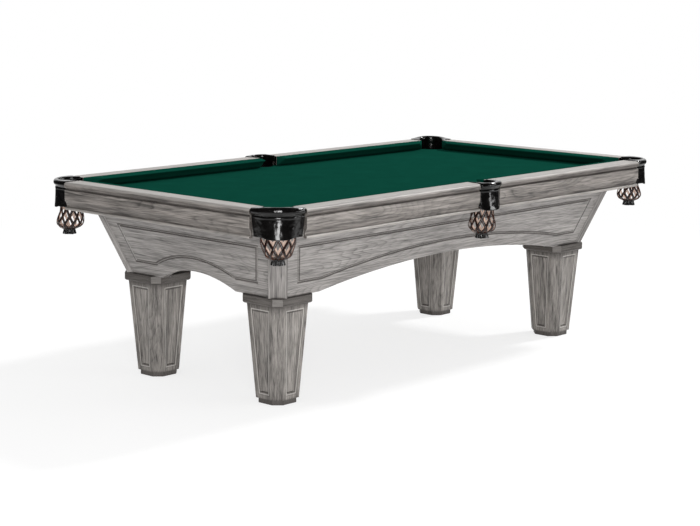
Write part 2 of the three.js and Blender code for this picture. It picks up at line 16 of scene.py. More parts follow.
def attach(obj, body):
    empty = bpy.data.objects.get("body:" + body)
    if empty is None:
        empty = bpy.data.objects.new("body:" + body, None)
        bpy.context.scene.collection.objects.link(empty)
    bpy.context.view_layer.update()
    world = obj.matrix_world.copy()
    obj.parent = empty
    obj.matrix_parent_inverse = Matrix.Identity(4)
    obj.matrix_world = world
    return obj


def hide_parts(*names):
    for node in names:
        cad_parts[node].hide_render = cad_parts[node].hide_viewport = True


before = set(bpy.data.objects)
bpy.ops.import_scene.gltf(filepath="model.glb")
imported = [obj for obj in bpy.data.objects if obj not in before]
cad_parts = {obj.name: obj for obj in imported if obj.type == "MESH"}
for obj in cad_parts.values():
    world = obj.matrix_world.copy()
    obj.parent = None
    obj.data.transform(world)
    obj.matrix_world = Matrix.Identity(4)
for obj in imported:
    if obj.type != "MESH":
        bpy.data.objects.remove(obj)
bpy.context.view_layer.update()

bl_info = {
    "name": "Pool Table",
    "version": (1, 0, 0),
    "blender": (4, 5, 0),
    "location": "View3D > Sidebar > Pool Table",
    "description": "Builds a drop-pocket pool table in weathered oak, wool cloth and leather",
    "category": "Object",
}

# ---------------------------------------------------------------- sizes shared with the CAD

HALF_LENGTH = 1.1176  # middle of the table to the nose line of an end cushion
HALF_WIDTH = 0.5588
BED_TOP = 0.780
CLOTH_BOTTOM = 0.779
SLATE_EDGE = (1.1956, 0.6368)  # half length and half width of the slates
RAIL_BOTTOM = 0.7803
RAIL_TOP = 0.823
CUSHION_DEPTH = 0.0504
RAIL_OUTER = 0.1324  # depth of a rail, from the nose to its outer face
COLLAR_TOP = 0.8265
COLLAR_BOTTOM = 0.797
COLLAR_RADIUS = 0.127
RIB_SET_IN = 0.008  # of the rib below the roll
NET_TOP = 0.776
CORNER_POINT = 0.127 / math.sqrt(2)  # cushion point back from the corner of the nose lines
CORNER_RUN = 1 / math.tan(math.radians(38))  # a facing's slant, as run for each step out
SIDE_POINT = 0.0665
SIDE_RUN = 1 / math.tan(math.radians(76))

# Each kind of pocket: radius of the throat, how far out the roll bulges, half widths of the
# shield and of its part between the folds, half widths of the net's waist out and across, and
# by how much the shield's foot is drawn in and flares out.
CORNER = {
    "throat": 0.056, "bulge": 0.075, "shield_half": 0.095, "shield_fold": 0.062,
    "waist": (0.046, 0.068), "drawn": 0.085, "flare": 0.006,
}
SIDE = {
    "throat": 0.050, "bulge": 0.067, "shield_half": 0.064, "shield_fold": 0.063,
    "waist": (0.047, 0.043), "drawn": 0.012, "flare": 0.009,
}
CORNER_OFFSET = 0.041  # pocket's middle, out from the nose lines along X and along Y
SIDE_OFFSET = 0.090


def pocket(kind, x, y, turn, drop, slip=0.0, crown=0.0, slack=1.0):
    """A pocket's own frame: its place in plan, the turn that brings +X out of the table, how
    far its net hangs, how far the net's cup has slipped outwards, how far the middle of the
    collar stands up and how full the net's waist is."""
    return {
        **kind, "x": x, "y": y, "turn": math.radians(turn), "drop": drop, "slip": slip,
        "crown": crown, "waist": tuple(w * slack for w in kind["waist"]),
    }


PX, PY = HALF_LENGTH + CORNER_OFFSET, HALF_WIDTH + CORNER_OFFSET
SY = HALF_WIDTH + SIDE_OFFSET
POCKETS = {
    "back_right": pocket(CORNER, PX, PY, 45, 0.176, crown=0.010),
    "back_left": pocket(CORNER, -PX, PY, 135, 0.181, slip=0.013),
    "front_left": pocket(CORNER, -PX, -PY, 225, 0.168, crown=0.007),
    "front_right": pocket(CORNER, PX, -PY, -45, 0.167, slack=0.87),
    "back_middle": pocket(SIDE, 0, SY, 90, 0.188),
    "front_middle": pocket(SIDE, 0, -SY, -90, 0.188),
}

# ---------------------------------------------------------------- small tools

WHITE = (1, 1, 1, 1)


def linear(code):
    """An sRGB hex value as linear red, green and blue."""
    channels = [int(code[i : i + 2], 16) / 255 for i in (1, 3, 5)]
    return tuple(
        c / 12.92 if c <= 0.04045 else ((c + 0.055) / 1.055) ** 2.4 for c in channels
    )


def colour(value, lightness=1.0):
    return (*(min(1.0, c * lightness) for c in value[:3]), 1.0)


def node(tree, kind, inputs=(), stops=(), **settings):
    """Adds a node with its settings and links. Its inputs, in order or by name, are values,
    outputs, or nodes, which stand for their first output in use."""
    made = tree.nodes.new("ShaderNode" + kind)
    for name, value in settings.items():
        setattr(made, name, value)
    sockets = [socket for socket in made.inputs if socket.enabled]
    if isinstance(inputs, dict):
        sockets = [made.inputs[name] for name in inputs]
        inputs = inputs.values()
    for socket, value in zip(sockets, inputs):
        if isinstance(value, bpy.types.Node):
            value = next(output for output in value.outputs if output.enabled)
        if isinstance(value, bpy.types.NodeSocket):
            tree.links.new(value, socket)
        else:
            socket.default_value = value
    if stops:
        elements = made.color_ramp.elements
        while len(elements) < len(stops):
            elements.new(0.5)
        for element, (position, level) in zip(elements, stops):
            element.position = position
            element.color = (level, level, level, 1.0)
    return made


def new_material(name):
    made = bpy.data.materials.new(name)
    made.use_nodes = True
    made.node_tree.nodes.clear()
    return made, made.node_tree


def new_object(name, data):
    made = bpy.data.objects.new(name, data)
    bpy.context.scene.collection.objects.link(made)
    return made


def new_piece(name, vertices, faces, materials, slot, replaced=(), sharp=180):
    """A smooth closed mesh on the frame's one body, creased where it turns by `sharp`."""
    mesh = bpy.data.meshes.new(name)
    mesh.from_pydata([tuple(v) for v in vertices], [], faces)
    piece = new_object(name, mesh)
    for made in materials:
        mesh.materials.append(made)
    work = bmesh.new()
    work.from_mesh(mesh)
    bmesh.ops.recalc_face_normals(work, faces=work.faces)
    work.to_mesh(mesh)
    work.free()
    mesh.shade_smooth()
    settle(piece, slot, replaced)
    if sharp < 180:
        mesh.set_sharp_from_angle(angle=math.radians(sharp))
    return piece


def settle(piece, slot, replaced):
    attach(piece, "root")
    if replaced:
        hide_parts(*replaced)


def skin(rings, base=0):
    """Vertices and faces of equal rings joined in order, with both ends closed; the first
    vertex has the number `base`."""
    count = len(rings[0])
    vertices = [p for ring in rings for p in ring]
    faces = []
    for near in range(base, base + len(vertices) - count, count):
        for j in range(count):
            k = (j + 1) % count
            faces.append((near + j, near + k, near + count + k, near + count + j))
    last = base + len(vertices) - count
    faces.append(tuple(range(base + count - 1, base - 1, -1)))
    faces.append(tuple(range(last, last + count)))
    return vertices, faces


def modified(piece, kind, **settings):
    made = piece.modifiers.new(kind.lower(), kind)
    for name, value in settings.items():
        setattr(made, name, value)


def applied(piece):
    """Bakes a piece's modifiers into its mesh."""
    graph = bpy.context.evaluated_depsgraph_get()
    graph.update()
    mesh = bpy.data.meshes.new_from_object(piece.evaluated_get(graph))
    piece.modifiers.clear()
    piece.data = mesh
    return mesh


def clamp(value):
    return min(1.0, max(0.0, value))


def placed(where, point):
    """A point of a pocket's own frame in the table's frame."""
    c, s = math.cos(where["turn"]), math.sin(where["turn"])
    x, y, z = point
    return Vector((where["x"] + c * x - s * y, where["y"] + s * x + c * y, z))


# ---------------------------------------------------------------- what a user can change

COLOUR = {"subtype": "COLOR", "size": 3, "min": 0, "max": 1}
LENGTH = {"unit": "LENGTH", "subtype": "DISTANCE"}


class WoodFinish(bpy.types.PropertyGroup):
    # The rails' stain is the cabinet's oak made darker: painted shade for their upright faces.
    rail: FloatVectorProperty(
        name="Rail", description="Stain on the rails and aprons",
        default=linear("#8B8580"), **COLOUR,
    )
    panel: FloatVectorProperty(
        name="Cabinet", description="Stain on the cabinet panels and corner posts",
        default=linear("#95918E"), **COLOUR,
    )
    leg: FloatVectorProperty(
        name="Legs", description="Stain on the legs and their caps",
        default=linear("#96918C"), **COLOUR,
    )
    # The glaze colour is also the painted shade in corners, where pieces meet and on faces turned
    # from the light.
    glaze: FloatVectorProperty(
        name="Glaze", description="Dark glaze left in the grain and the mouldings",
        default=linear("#3A3532"), **COLOUR,
    )
    worn: FloatVectorProperty(
        name="Worn edges", description="Colour that the arrises of rails and cabinet wear to",
        default=linear("#C6C2BC"), **COLOUR,
    )
    # This colour is also the painted highlight on rail tops, bullnoses, beads, the caps' cut
    # corners and the ridges of the mouldings.
    rubbed_and_highlight: FloatVectorProperty(
        name="Rubbed", description="Colour of the places where the stain is rubbed through",
        default=linear("#CFCBC6"), **COLOUR,
    )
    eased_edge: FloatProperty(
        name="Eased edge", description="Radius that the arrises are sanded to",
        min=0.0003, max=0.004, default=0.0014, **LENGTH,
    )
    figure: FloatProperty(
        name="Figure", description="Spacing of the growth rings on a board's face",
        min=0.004, max=0.04, default=0.014, **LENGTH,
    )


class ClothFinish(bpy.types.PropertyGroup):
    green: FloatVectorProperty(
        name="Cloth", description="Colour of the bed and cushion cloth",
        default=linear("#0E473A"), **COLOUR,
    )
    fold_down: FloatProperty(
        name="Fold down", description="Cloth turned down over the edge of the slates",
        min=0.005, max=0.024, default=0.022, **LENGTH,
    )
    nose_radius: FloatProperty(
        name="Nose radius", description="Rounding of the rubber under the cloth",
        min=0.001, max=0.006, default=0.003, **LENGTH,
    )
    crown: FloatProperty(
        name="Crown", description="How far the stretched cloth stands up between its edges",
        min=0, max=0.002, default=0.0008, **LENGTH,
    )


class LeatherFinish(bpy.types.PropertyGroup):
    black: FloatVectorProperty(
        name="Leather", description="Colour of the polished side",
        default=linear("#080707"), **COLOUR,
    )
    suede: FloatVectorProperty(
        name="Suede", description="Colour of the raw inner side of the net straps",
        default=linear("#F6E0D2"), **COLOUR,
    )
    edge: FloatVectorProperty(
        name="Cut edge", description="Colour of the cut edges of the straps",
        default=linear("#3E241C"), **COLOUR,
    )
    wrinkle: FloatProperty(
        name="Wrinkles", description="Height of the creases in the moulded leather",
        min=0, max=0.003, default=0.0009, **LENGTH,
    )
    strap_width: FloatProperty(
        name="Strap width", description="Width of a net strap",
        min=0.003, max=0.012, default=0.0078, **LENGTH,
    )
    strap_thickness: FloatProperty(
        name="Strap thickness", description="Thickness of a net strap",
        min=0.001, max=0.004, default=0.0022, **LENGTH,
    )
    straps: IntProperty(
        name="Straps", description="Straps that run each way round a net",
        min=5, max=16, default=10,
    )
    row: FloatProperty(
        name="Row", description="Drop from one row of crossings to the next",
        min=0.015, max=0.06, default=0.034, **LENGTH,
    )


class StageSettings(bpy.types.PropertyGroup):
    floor: FloatVectorProperty(
        name="Floor", description="Colour of the studio floor",
        default=linear("#F7F7F7"), **COLOUR,
    )
    shadow: FloatProperty(
        name="Shadow", description="How much of the floor's own shading shows",
        subtype="FACTOR", min=0, max=1, default=0.33,
    )
    key: FloatProperty(
        name="Key", description="Light of the side lamp on a white surface that faces it",
        min=0, max=3, default=0.6,
    )
    fill: FloatProperty(
        name="Fill", description="Light of the front lamp on a white surface that faces it",
        min=0, max=3, default=0.47,
    )
    rim: FloatProperty(
        name="Rim", description="Light of the strip lamp on a white surface that faces it",
        min=0, max=3, default=0.2,
    )
    sky: FloatProperty(
        name="Sky", description="Even light from all round", min=0, max=2, default=0.5,
    )


# ---------------------------------------------------------------- materials

RING_FEATURE = 0.18  # across the grain, one feature of the field that makes the growth rings
RING_FIELD = 0.36  # the share of its range that the field is taken to cross in a feature
OAK_FINISHES = {
    "rail": {"smeared": 0.40, "arris_depth": 0.004, "arris_share": 0.4, "coat": 0.3},
    "panel": {"smeared": 0.17, "arris_depth": 0.004, "arris_share": 0.1, "coat": 0.25},
    "leg": {"smeared": 0.38, "arris_depth": 0.04, "arris_share": 1.0, "coat": 0.15},
}


def weathered_oak(tree, stain, arris_tint, smeared, arris_depth, arris_share, coat):
    """Plain-sawn oak, wire-brushed, stained driftwood grey, glazed dark and wiped, then
    lacquered satin. The eye gets long streaks, loops of growth rings, dark glaze in the
    mouldings with painted shade there and where pieces meet, painted highlights and painted
    shade on faces by their tone, and a worn or a glazed band along the arrises. `smeared` is
    how much of the wiped glaze is left in streaks."""
    wood = bpy.context.scene.table_wood
    board = node(tree, "Attribute", attribute_name="board").outputs["Vector"]
    patterns = {}
    for kind, scale, detail, roughness, distortion in (
        # Growth rings are contour lines of a field that changes slowly along the board.
        ("rings", (0.75, 5.5, 5.5), 2.0, 0.42, 0.25),
        ("fibres", (7, 210, 210), 3.0, 0.62, 0.0),
        # Pores are 0.3 mm wide, drawn 2 to 4 mm wide so that they show.
        ("pores", (22, 420, 420), 2.0, 0.5, 0.0),
        ("patches", (1.3, 9, 9), 3.0, 0.55, 0.0),
        # Glaze wiped along the grain lies in smears about 18 mm wide and 200 mm long.
        ("smears", (4.2, 46, 46), 2.0, 0.55, 0.0),
    ):
        place = node(tree, "VectorMath", (board, scale), operation="MULTIPLY")
        patterns[kind] = node(
            tree, "TexNoise",
            {"Vector": place, "Scale": 1.0, "Detail": detail, "Roughness": roughness,
             "Distortion": distortion},
        )

    rings_per_field = RING_FEATURE / wood.figure / RING_FIELD
    count = node(tree, "Math", (patterns["rings"], rings_per_field), operation="MULTIPLY")
    ring = node(tree, "Math", (count,), operation="FRACT")
    late_wood = node(
        tree, "ValToRGB", (ring,),
        stops=((0.0, 1.0), (0.16, 0.45), (0.45, 0.1), (0.86, 0.0), (1.0, 0.9)),
    )
    figured = node(tree, "ValToRGB", (patterns["patches"],), stops=((0.38, 0.25), (0.62, 1.0)))
    ring_dark = node(tree, "Math", (late_wood, figured), operation="MULTIPLY")
    pore_mask = node(tree, "ValToRGB", (patterns["pores"],), stops=((0.52, 0.0), (0.68, 1.0)))

    # How dark each place is: rings where the figure shows, streaks all over.
    darkness = node(tree, "Math", (ring_dark, 0.30), operation="MULTIPLY")
    for part in (
        node(tree, "MapRange", (patterns["fibres"], 0.36, 0.64, 0.0, 0.52)),
        node(tree, "Math", (pore_mask, 0.20), operation="MULTIPLY"),
        node(tree, "MapRange", (patterns["smears"], 0.42, 0.68, 0.0, smeared)),
        node(tree, "MapRange", (patterns["patches"], 0.35, 0.65, 0.14, 0.0)),
    ):
        darkness = node(tree, "Math", (darkness, part), operation="ADD")
    darkness.use_clamp = True
    grained = node(
        tree, "Mix", (darkness, colour(stain, 1.34), colour(stain, 0.22)), data_type="RGBA"
    )

    # Glaze stays in inside corners, with painted shade there and where other pieces come close;
    # faces whose "tone" is below 0 get glaze and painted shade, those above 0 a painted
    # highlight. Arrises take their own worn or glazed tint.
    inside = node(tree, "AmbientOcclusion", {"Distance": 0.008}, samples=8).outputs["AO"]
    hollow = node(tree, "ValToRGB", (inside,), stops=((0.3, 0.85), (0.88, 0.0)))
    tone = node(tree, "Attribute", attribute_name="tone").outputs["Fac"]
    sunk = node(tree, "Math", (tone, -0.72), operation="MULTIPLY", use_clamp=True)
    clean = node(tree, "MapRange", (tone, 0.0, 0.6, 1.0, 0.15))
    hollow_glaze_and_shade = node(tree, "Math", (hollow, clean), operation="MULTIPLY")
    glaze = node(tree, "Math", (hollow_glaze_and_shade, sunk), operation="MAXIMUM")
    glazed = node(tree, "Mix", (glaze, grained, colour(wood.glaze)), data_type="RGBA")
    outside = node(
        tree, "AmbientOcclusion", {"Distance": arris_depth}, samples=8, inside=True,
        only_local=True,
    ).outputs["AO"]
    arris = node(tree, "ValToRGB", (outside,), stops=((0.35, arris_share), (0.9, 0.0)))
    edged = node(tree, "Mix", (arris, glazed, colour(arris_tint)), data_type="RGBA")
    # Painted highlights and worn-pale places keep a third of their grain.
    bare = node(tree, "Mix", (0.33, colour(wood.rubbed_and_highlight), grained), data_type="RGBA")
    highlight_share = node(tree, "Math", (tone, 1.0), operation="MULTIPLY", use_clamp=True)

    relief = node(tree, "Math", (darkness, -1.0), operation="MULTIPLY")
    return {
        "Base Color": node(tree, "Mix", (highlight_share, edged, bare), data_type="RGBA"),
        "Roughness": node(tree, "MapRange", (darkness, 0.0, 1.0, 0.50, 0.68)),
        "Normal": node(
            tree, "Bump", {"Height": relief, "Strength": 0.5, "Distance": 0.0006}
        ),
        "Specular IOR Level": 0.35, "Coat Weight": coat, "Coat Roughness": 0.36,
    }


def worsted_cloth(tree, cloth_lightness=1.0):
    """Worsted wool and nylon woven tight, napped and sheared: dead matt with a faint mottle.
    The yarns are 0.5 mm apart, drawn 1.6 mm apart."""
    cloth = bpy.context.scene.table_cloth
    place = node(tree, "TexCoord").outputs["Object"]
    yarn = node(
        tree, "TexNoise", {"Vector": place, "Scale": 620.0, "Detail": 2.0, "Roughness": 0.6}
    )
    mottle = node(
        tree, "TexNoise", {"Vector": place, "Scale": 9.0, "Detail": 4.0, "Roughness": 0.6}
    )
    woven = node(tree, "MapRange", (yarn, 0.3, 0.7, 0.80, 1.18))
    drift = node(tree, "MapRange", (mottle, 0.3, 0.7, 0.93, 1.07))
    both = node(tree, "Math", (woven, drift), operation="MULTIPLY")
    green = colour(cloth.green, cloth_lightness)[:3]
    return {
        "Base Color": node(tree, "VectorMath", (green, both), operation="SCALE"),
        "Normal": node(tree, "Bump", {"Height": yarn, "Strength": 0.35, "Distance": 0.0004}),
        "Roughness": 0.95, "Specular IOR Level": 0.0,
    }


def polished_leather(tree):
    """Bridle leather, wet-moulded, dyed black and waxed: deep black, with highlights that
    break on soft folds and a fine pebble. Pebbles are 1 mm, drawn 2.5 mm."""
    leather = bpy.context.scene.table_leather
    place = node(tree, "TexCoord").outputs["Object"]
    pebble = node(
        tree, "TexVoronoi", {"Vector": place, "Scale": 400.0}, feature="SMOOTH_F1"
    )
    folds = node(
        tree, "TexNoise", {"Vector": place, "Scale": 38.0, "Detail": 3.0, "Roughness": 0.5}
    )
    faded = node(tree, "MapRange", (folds, 0.35, 0.65, 0.7, 1.3))
    fine = node(tree, "Bump", {"Height": pebble, "Strength": 0.12, "Distance": 0.0006})
    return {
        "Base Color": node(
            tree, "VectorMath", (tuple(leather.black), faded), operation="SCALE"
        ),
        "Roughness": node(tree, "MapRange", (folds, 0.35, 0.65, 0.12, 0.21)),
        "Normal": node(
            tree, "Bump",
            {"Height": folds, "Strength": 0.30, "Distance": 0.003, "Normal": fine},
        ),
        "Specular IOR Level": 0.42,
    }


def raw_leather(tree, tint, spread):
    """The flesh side or a cut edge of vegetable-tanned leather: matt, fibrous, uneven."""
    place = node(tree, "TexCoord").outputs["Object"]
    nap = node(
        tree, "TexNoise", {"Vector": place, "Scale": 240.0, "Detail": 4.0, "Roughness": 0.65}
    )
    uneven = node(tree, "MapRange", (nap, 0.3, 0.7, 1 - spread, 1 + spread))
    return {
        "Base Color": node(tree, "VectorMath", (tuple(tint), uneven), operation="SCALE"),
        "Normal": node(tree, "Bump", {"Height": nap, "Strength": 0.4, "Distance": 0.0005}),
        "Roughness": 0.85, "Specular IOR Level": 0.2,
    }


def honed_slate(tree):
    """Metamorphic slate, sawn and honed: dull blue-grey with faint lighter beds."""
    place = node(tree, "TexCoord").outputs["Object"]
    beds = node(tree, "VectorMath", (place, (3, 14, 40)), operation="MULTIPLY")
    bedding = node(
        tree, "TexNoise", {"Vector": beds, "Scale": 1.0, "Detail": 6.0, "Roughness": 0.6}
    )
    greys = colour(linear("#3C4248")), colour(linear("#646B70"))
    return {
        "Base Color": node(tree, "Mix", (bedding, *greys), data_type="RGBA"),
        "Normal": node(
            tree, "Bump", {"Height": bedding, "Strength": 0.3, "Distance": 0.0006}
        ),
        "Roughness": 0.62,
    }


def planed_pine(tree):
    """Pine framing timber, planed and left bare: pale straw with amber growth lines."""
    board = node(tree, "TexCoord").outputs["Object"]
    stretched = node(tree, "VectorMath", (board, (1.1, 1.1, 22)), operation="MULTIPLY")
    field = node(
        tree, "TexNoise", {"Vector": stretched, "Scale": 1.0, "Detail": 3.0, "Roughness": 0.5}
    )
    count = node(tree, "Math", (field, 16.0), operation="MULTIPLY")
    ring = node(tree, "Math", (count,), operation="FRACT")
    straws = colour(linear("#D9BC8C")), colour(linear("#B98A52"))
    return {
        "Base Color": node(tree, "Mix", (ring, *straws), data_type="RGBA"),
        "Normal": node(tree, "Bump", {"Height": ring, "Strength": 0.2, "Distance": 0.0004}),
        "Roughness": 0.7,
    }


def mother_of_pearl(tree):
    """Shell, turned to small discs and polished: milky, faintly pink and green."""
    place = node(tree, "TexCoord").outputs["Object"]
    layers = node(
        tree, "TexNoise", {"Vector": place, "Scale": 260.0, "Detail": 2.0, "Distortion": 1.5}
    )
    milks = colour(linear("#D8D2C8")), colour(linear("#EFE9E4"))
    milky = node(tree, "Mix", (layers, *milks), data_type="RGBA")
    return {"Base Color": milky, "Roughness": 0.25}


def finish_of(name, maker, *details, **more):
    """The material of that name, made the first time it is asked for: `maker` adds its
    patterns to the tree and returns the inputs of its shader."""
    made = bpy.data.materials.get(name)
    if made is None:
        made, tree = new_material(name)
        shader = node(tree, "BsdfPrincipled", maker(tree, *details, **more))
        node(tree, "OutputMaterial", (shader,))
    return made


# ---------------------------------------------------------------- wooden pieces

CABINET_HALF = {"x": 0.4482, "y": 1.0067}  # by grain, at the bottom edge, inside the posts
CABINET_BOTTOM = 0.4366
CABINET_LEAN = 0.343
APRON_TOP_EDGE = 0.7885  # the top edge lies above this
APRON_COVE, APRON_BEAD = 0.745, 0.7195  # the cove and the bead start below these
LEG_PLACE = (0.9102, 0.3517)
FOOT_TOP = 0.021
SHAFT_HEIGHT = 0.381
SHAFT_HALF, SHAFT_SPREAD = 0.075, 0.025  # half width at the foot, and what the cap adds
LEG_PANEL = (0.047, 0.038, 0.385)  # in from the sides, up from the floor to its two ends
LEG_OAK = -0.05
RUNS = {
    "end_left": (90, "y"), "end_right": (-90, "y"), "back_left": (0, "x"),
    "back_right": (0, "x"), "front_left": (180, "x"), "front_right": (180, "x"),
}
CORNERS = {
    "front_left": (-1, -1), "front_right": (1, -1), "back_left": (-1, 1), "back_right": (1, 1),
}
# Frame tones: glaze and painted shade in its two channels, a painted highlight on the ridge
# between them.
PANEL_TONES = (  # up to each depth of a face in the frame's section
    (0.0008, 0.0), (0.0023, -1.0), (0.0032, 0.35), (0.0060, -1.0), (math.inf, 0.0),
)
# Leg moulding tones: glaze and painted shade in the quirks, a painted highlight on the ovolo.
LEG_TONES = (  # up to each distance in from the edge of the panel's moulding
    (0.0006, -1.0), (0.0058, 0.55), (0.0097, -0.9), (0.0136, -1.0), (math.inf, LEG_OAK),
)


def board_coordinates(piece, grain, seed, lean=(0, 0)):
    """Stores where each corner lies in its board: along the grain, then across it twice.
    `grain` is an axis, or "round" for mouldings whose grain follows each face; `lean` is the
    way in plan that an upright board leans out as the cabinet does."""
    mesh = piece.data
    shift = np.array([3.17 * seed, 1.31 * seed, 2.23 * seed])
    co = np.array([v.co for v in mesh.vertices])
    co[:, :2] -= CABINET_LEAN * (co[:, 2:] - CABINET_BOTTOM) * np.array(lean)
    if grain == "round":
        values = np.zeros((len(mesh.loops), 3))
        for face in mesh.polygons:
            along = Vector((0, 0, 1)).cross(face.normal)
            along = along.normalized() if along.length > 0.3 else Vector((1, 0, 0))
            axes = np.array([along, along.cross(face.normal), face.normal])
            loops = list(face.loop_indices)
            corners = [mesh.loops[i].vertex_index for i in loops]
            values[loops] = co[corners] @ axes.T
        stored = mesh.attributes.new("board", "FLOAT_VECTOR", "CORNER")
    else:
        values = co[:, {"x": [0, 1, 2], "y": [1, 2, 0], "z": [2, 0, 1]}[grain]]
        stored = mesh.attributes.new("board", "FLOAT_VECTOR", "POINT")
    stored.data.foreach_set("vector", (values + shift).astype(np.float32).ravel())


def eased_copy(source, name, radius, slot, made, grain, seed, tone, lean=(0, 0)):
    """A copy of a CAD piece with its arrises eased, standing for it. Each face stores its
    tone(centre, normal): above 0 a painted highlight, below 0 glaze and painted shade."""
    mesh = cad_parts[source].data.copy()
    mesh.name = name
    work = bmesh.new()
    work.from_mesh(mesh)
    bmesh.ops.remove_doubles(work, verts=work.verts, dist=2e-5)
    bmesh.ops.dissolve_limit(
        work, angle_limit=math.radians(0.5), verts=work.verts, edges=work.edges
    )
    sharp = [
        e for e in work.edges if e.is_manifold and e.calc_face_angle(0) > math.radians(36)
    ]
    bmesh.ops.bevel(
        work, geom=sharp, offset=radius, offset_type="OFFSET", segments=2, profile=0.5,
        affect="EDGES", clamp_overlap=True,
    )
    bmesh.ops.recalc_face_normals(work, faces=work.faces)
    work.to_mesh(mesh)
    work.free()
    mesh.shade_smooth()
    mesh.set_sharp_from_angle(angle=math.radians(50))
    mesh.materials.clear()
    mesh.materials.append(made)
    piece = new_object(name, mesh)
    modified(piece, "WEIGHTED_NORMAL", keep_sharp=True)
    mesh = applied(piece)
    board_coordinates(piece, grain, seed, lean)
    values = [tone(face.center, face.normal) for face in mesh.polygons]
    mesh.attributes.new("tone", "FLOAT", "FACE").data.foreach_set("value", values)
    settle(piece, slot, [source])


def tone_up_to(tones, reach):
    """The tone of the first stretch that `reach` lies in."""
    return next(tone for limit, tone in tones if reach < limit)


def panel_tone(grain):
    """Glaze and painted shade in the two channels of a cabinet panel's frame and a painted
    highlight on the ridge between them, by their depth in its face.
    """

    def tone(centre, _):
        out = abs(centre.y if grain == "x" else centre.x)
        face = CABINET_HALF[grain] + CABINET_LEAN * (centre.z - CABINET_BOTTOM)
        return tone_up_to(PANEL_TONES, face - out)

    return tone


def sawn_end(normal, grain):
    return abs(normal.x if grain == "x" else normal.y) > 0.8


def rail_tone(grain):
    """Painted highlight on top and over the bullnose, faint on faces that turn up; painted shade
    on the face, more in the cove below it and most on the sawn ends."""

    def tone(_, normal):
        if normal.z > 0.3:
            return 0.85 if normal.z > 0.98 else 0.4
        if sawn_end(normal, grain):
            return -0.85
        if normal.z > 0.03:
            return 0.1
        return -0.55 if normal.z > -0.03 else -0.7

    return tone


def apron_tone(grain):
    """Painted shade at the top edge under the rail, in the cove and on the sawn ends; a painted
    highlight on the bead below.
    """

    def tone(centre, normal):
        if sawn_end(normal, grain):
            return -0.85
        if centre.z > APRON_TOP_EDGE:
            return -0.5
        if centre.z < APRON_BEAD:
            return 0.3
        return -0.25 if centre.z < APRON_COVE else 0.0

    return tone


def post_tone(_, normal):
    """Painted shade on the side faces; the canted face is only a little darker."""
    return -0.2 if min(abs(normal.x), abs(normal.y)) > 0.3 else -0.8


def cap_tone(_, normal):
    """Painted shade on the side faces and a painted highlight on the cut corners."""
    return 0.15 if min(abs(normal.x), abs(normal.y)) > 0.5 else -0.3


def leg_tone(x, y):
    """Glaze and painted shade in the quirks and a painted highlight on the ovolo round the sunk
    panels of the leg that stands at x, y; the cut corners are darker and the foot darkest.
    """
    margin, low, high = LEG_PANEL

    def tone(centre, normal):
        if centre.z < FOOT_TOP:
            return -1.0
        if min(abs(normal.x), abs(normal.y)) > 0.5:
            return -0.3
        u, v = abs(centre.x - x), abs(centre.y - y)
        out, across = (u, v) if abs(normal.x) > abs(normal.y) else (v, u)
        half = SHAFT_HALF + SHAFT_SPREAD * (centre.z - FOOT_TOP) / SHAFT_HEIGHT
        inset = min(half - margin - across, centre.z - low, high - centre.z)
        if not 0.0002 < half - out < 0.0085 or inset < -0.0004:
            return LEG_OAK
        return tone_up_to(LEG_TONES, inset)

    return tone


class TABLE_OT_rails(bpy.types.Operator):
    """Dress the top rails and the moulded aprons below them in oak"""

    bl_idname = "pool_table.rails"
    bl_label = "Rails and aprons"

    def execute(self, context):
        wood = context.scene.table_wood
        made = finish_of(
            "weathered_oak_rail", weathered_oak, wood.rail, wood.worn, **OAK_FINISHES["rail"]
        )
        for seed, (run, (_, grain)) in enumerate(RUNS.items(), 1):
            for part, shift, tone in (("rail", 0, rail_tone), ("apron", 10, apron_tone)):
                eased_copy(
                    f"{part}_{run}", f"oak_{part}_{run}", wood.eased_edge, "wood_rail",
                    made, grain, seed + shift, tone(grain),
                )
        return {"FINISHED"}


class TABLE_OT_cabinet(bpy.types.Operator):
    """Dress the arched cabinet panels and the canted corner posts in oak"""

    bl_idname = "pool_table.cabinet"
    bl_label = "Cabinet"

    def execute(self, context):
        wood = context.scene.table_wood
        made = finish_of(
            "weathered_oak_panel", weathered_oak, wood.panel, wood.worn, **OAK_FINISHES["panel"]
        )
        sides = {"side_front": "x", "side_back": "x", "end_left": "y", "end_right": "y"}
        for seed, (side, grain) in enumerate(sides.items(), 21):
            eased_copy(
                f"cabinet_{side}", f"oak_panel_{side}", 0.0006, "wood_panel", made, grain, seed,
                panel_tone(grain),
            )
        for seed, (corner, lean) in enumerate(CORNERS.items(), 31):
            eased_copy(
                f"corner_post_{corner}", f"oak_post_{corner}", wood.eased_edge, "wood_panel",
                made, "z", seed, post_tone, lean,
            )
        return {"FINISHED"}


class TABLE_OT_legs(bpy.types.Operator):
    """Dress the panelled legs and their caps in oak"""

    bl_idname = "pool_table.legs"
    bl_label = "Legs"

    def execute(self, context):
        wood = context.scene.table_wood
        made = finish_of(
            "weathered_oak_leg", weathered_oak, wood.leg, wood.glaze, **OAK_FINISHES["leg"]
        )
        for seed, (corner, (x, y)) in enumerate(CORNERS.items(), 41):
            eased_copy(
                f"leg_{corner}", f"oak_leg_{corner}", 0.0005, "wood_leg", made, "z", seed,
                leg_tone(x * LEG_PLACE[0], y * LEG_PLACE[1]),
            )
            eased_copy(
                f"leg_cap_{corner}", f"oak_cap_{corner}", wood.eased_edge, "wood_leg", made,
                "round", seed + 10, cap_tone,
            )
        return {"FINISHED"}


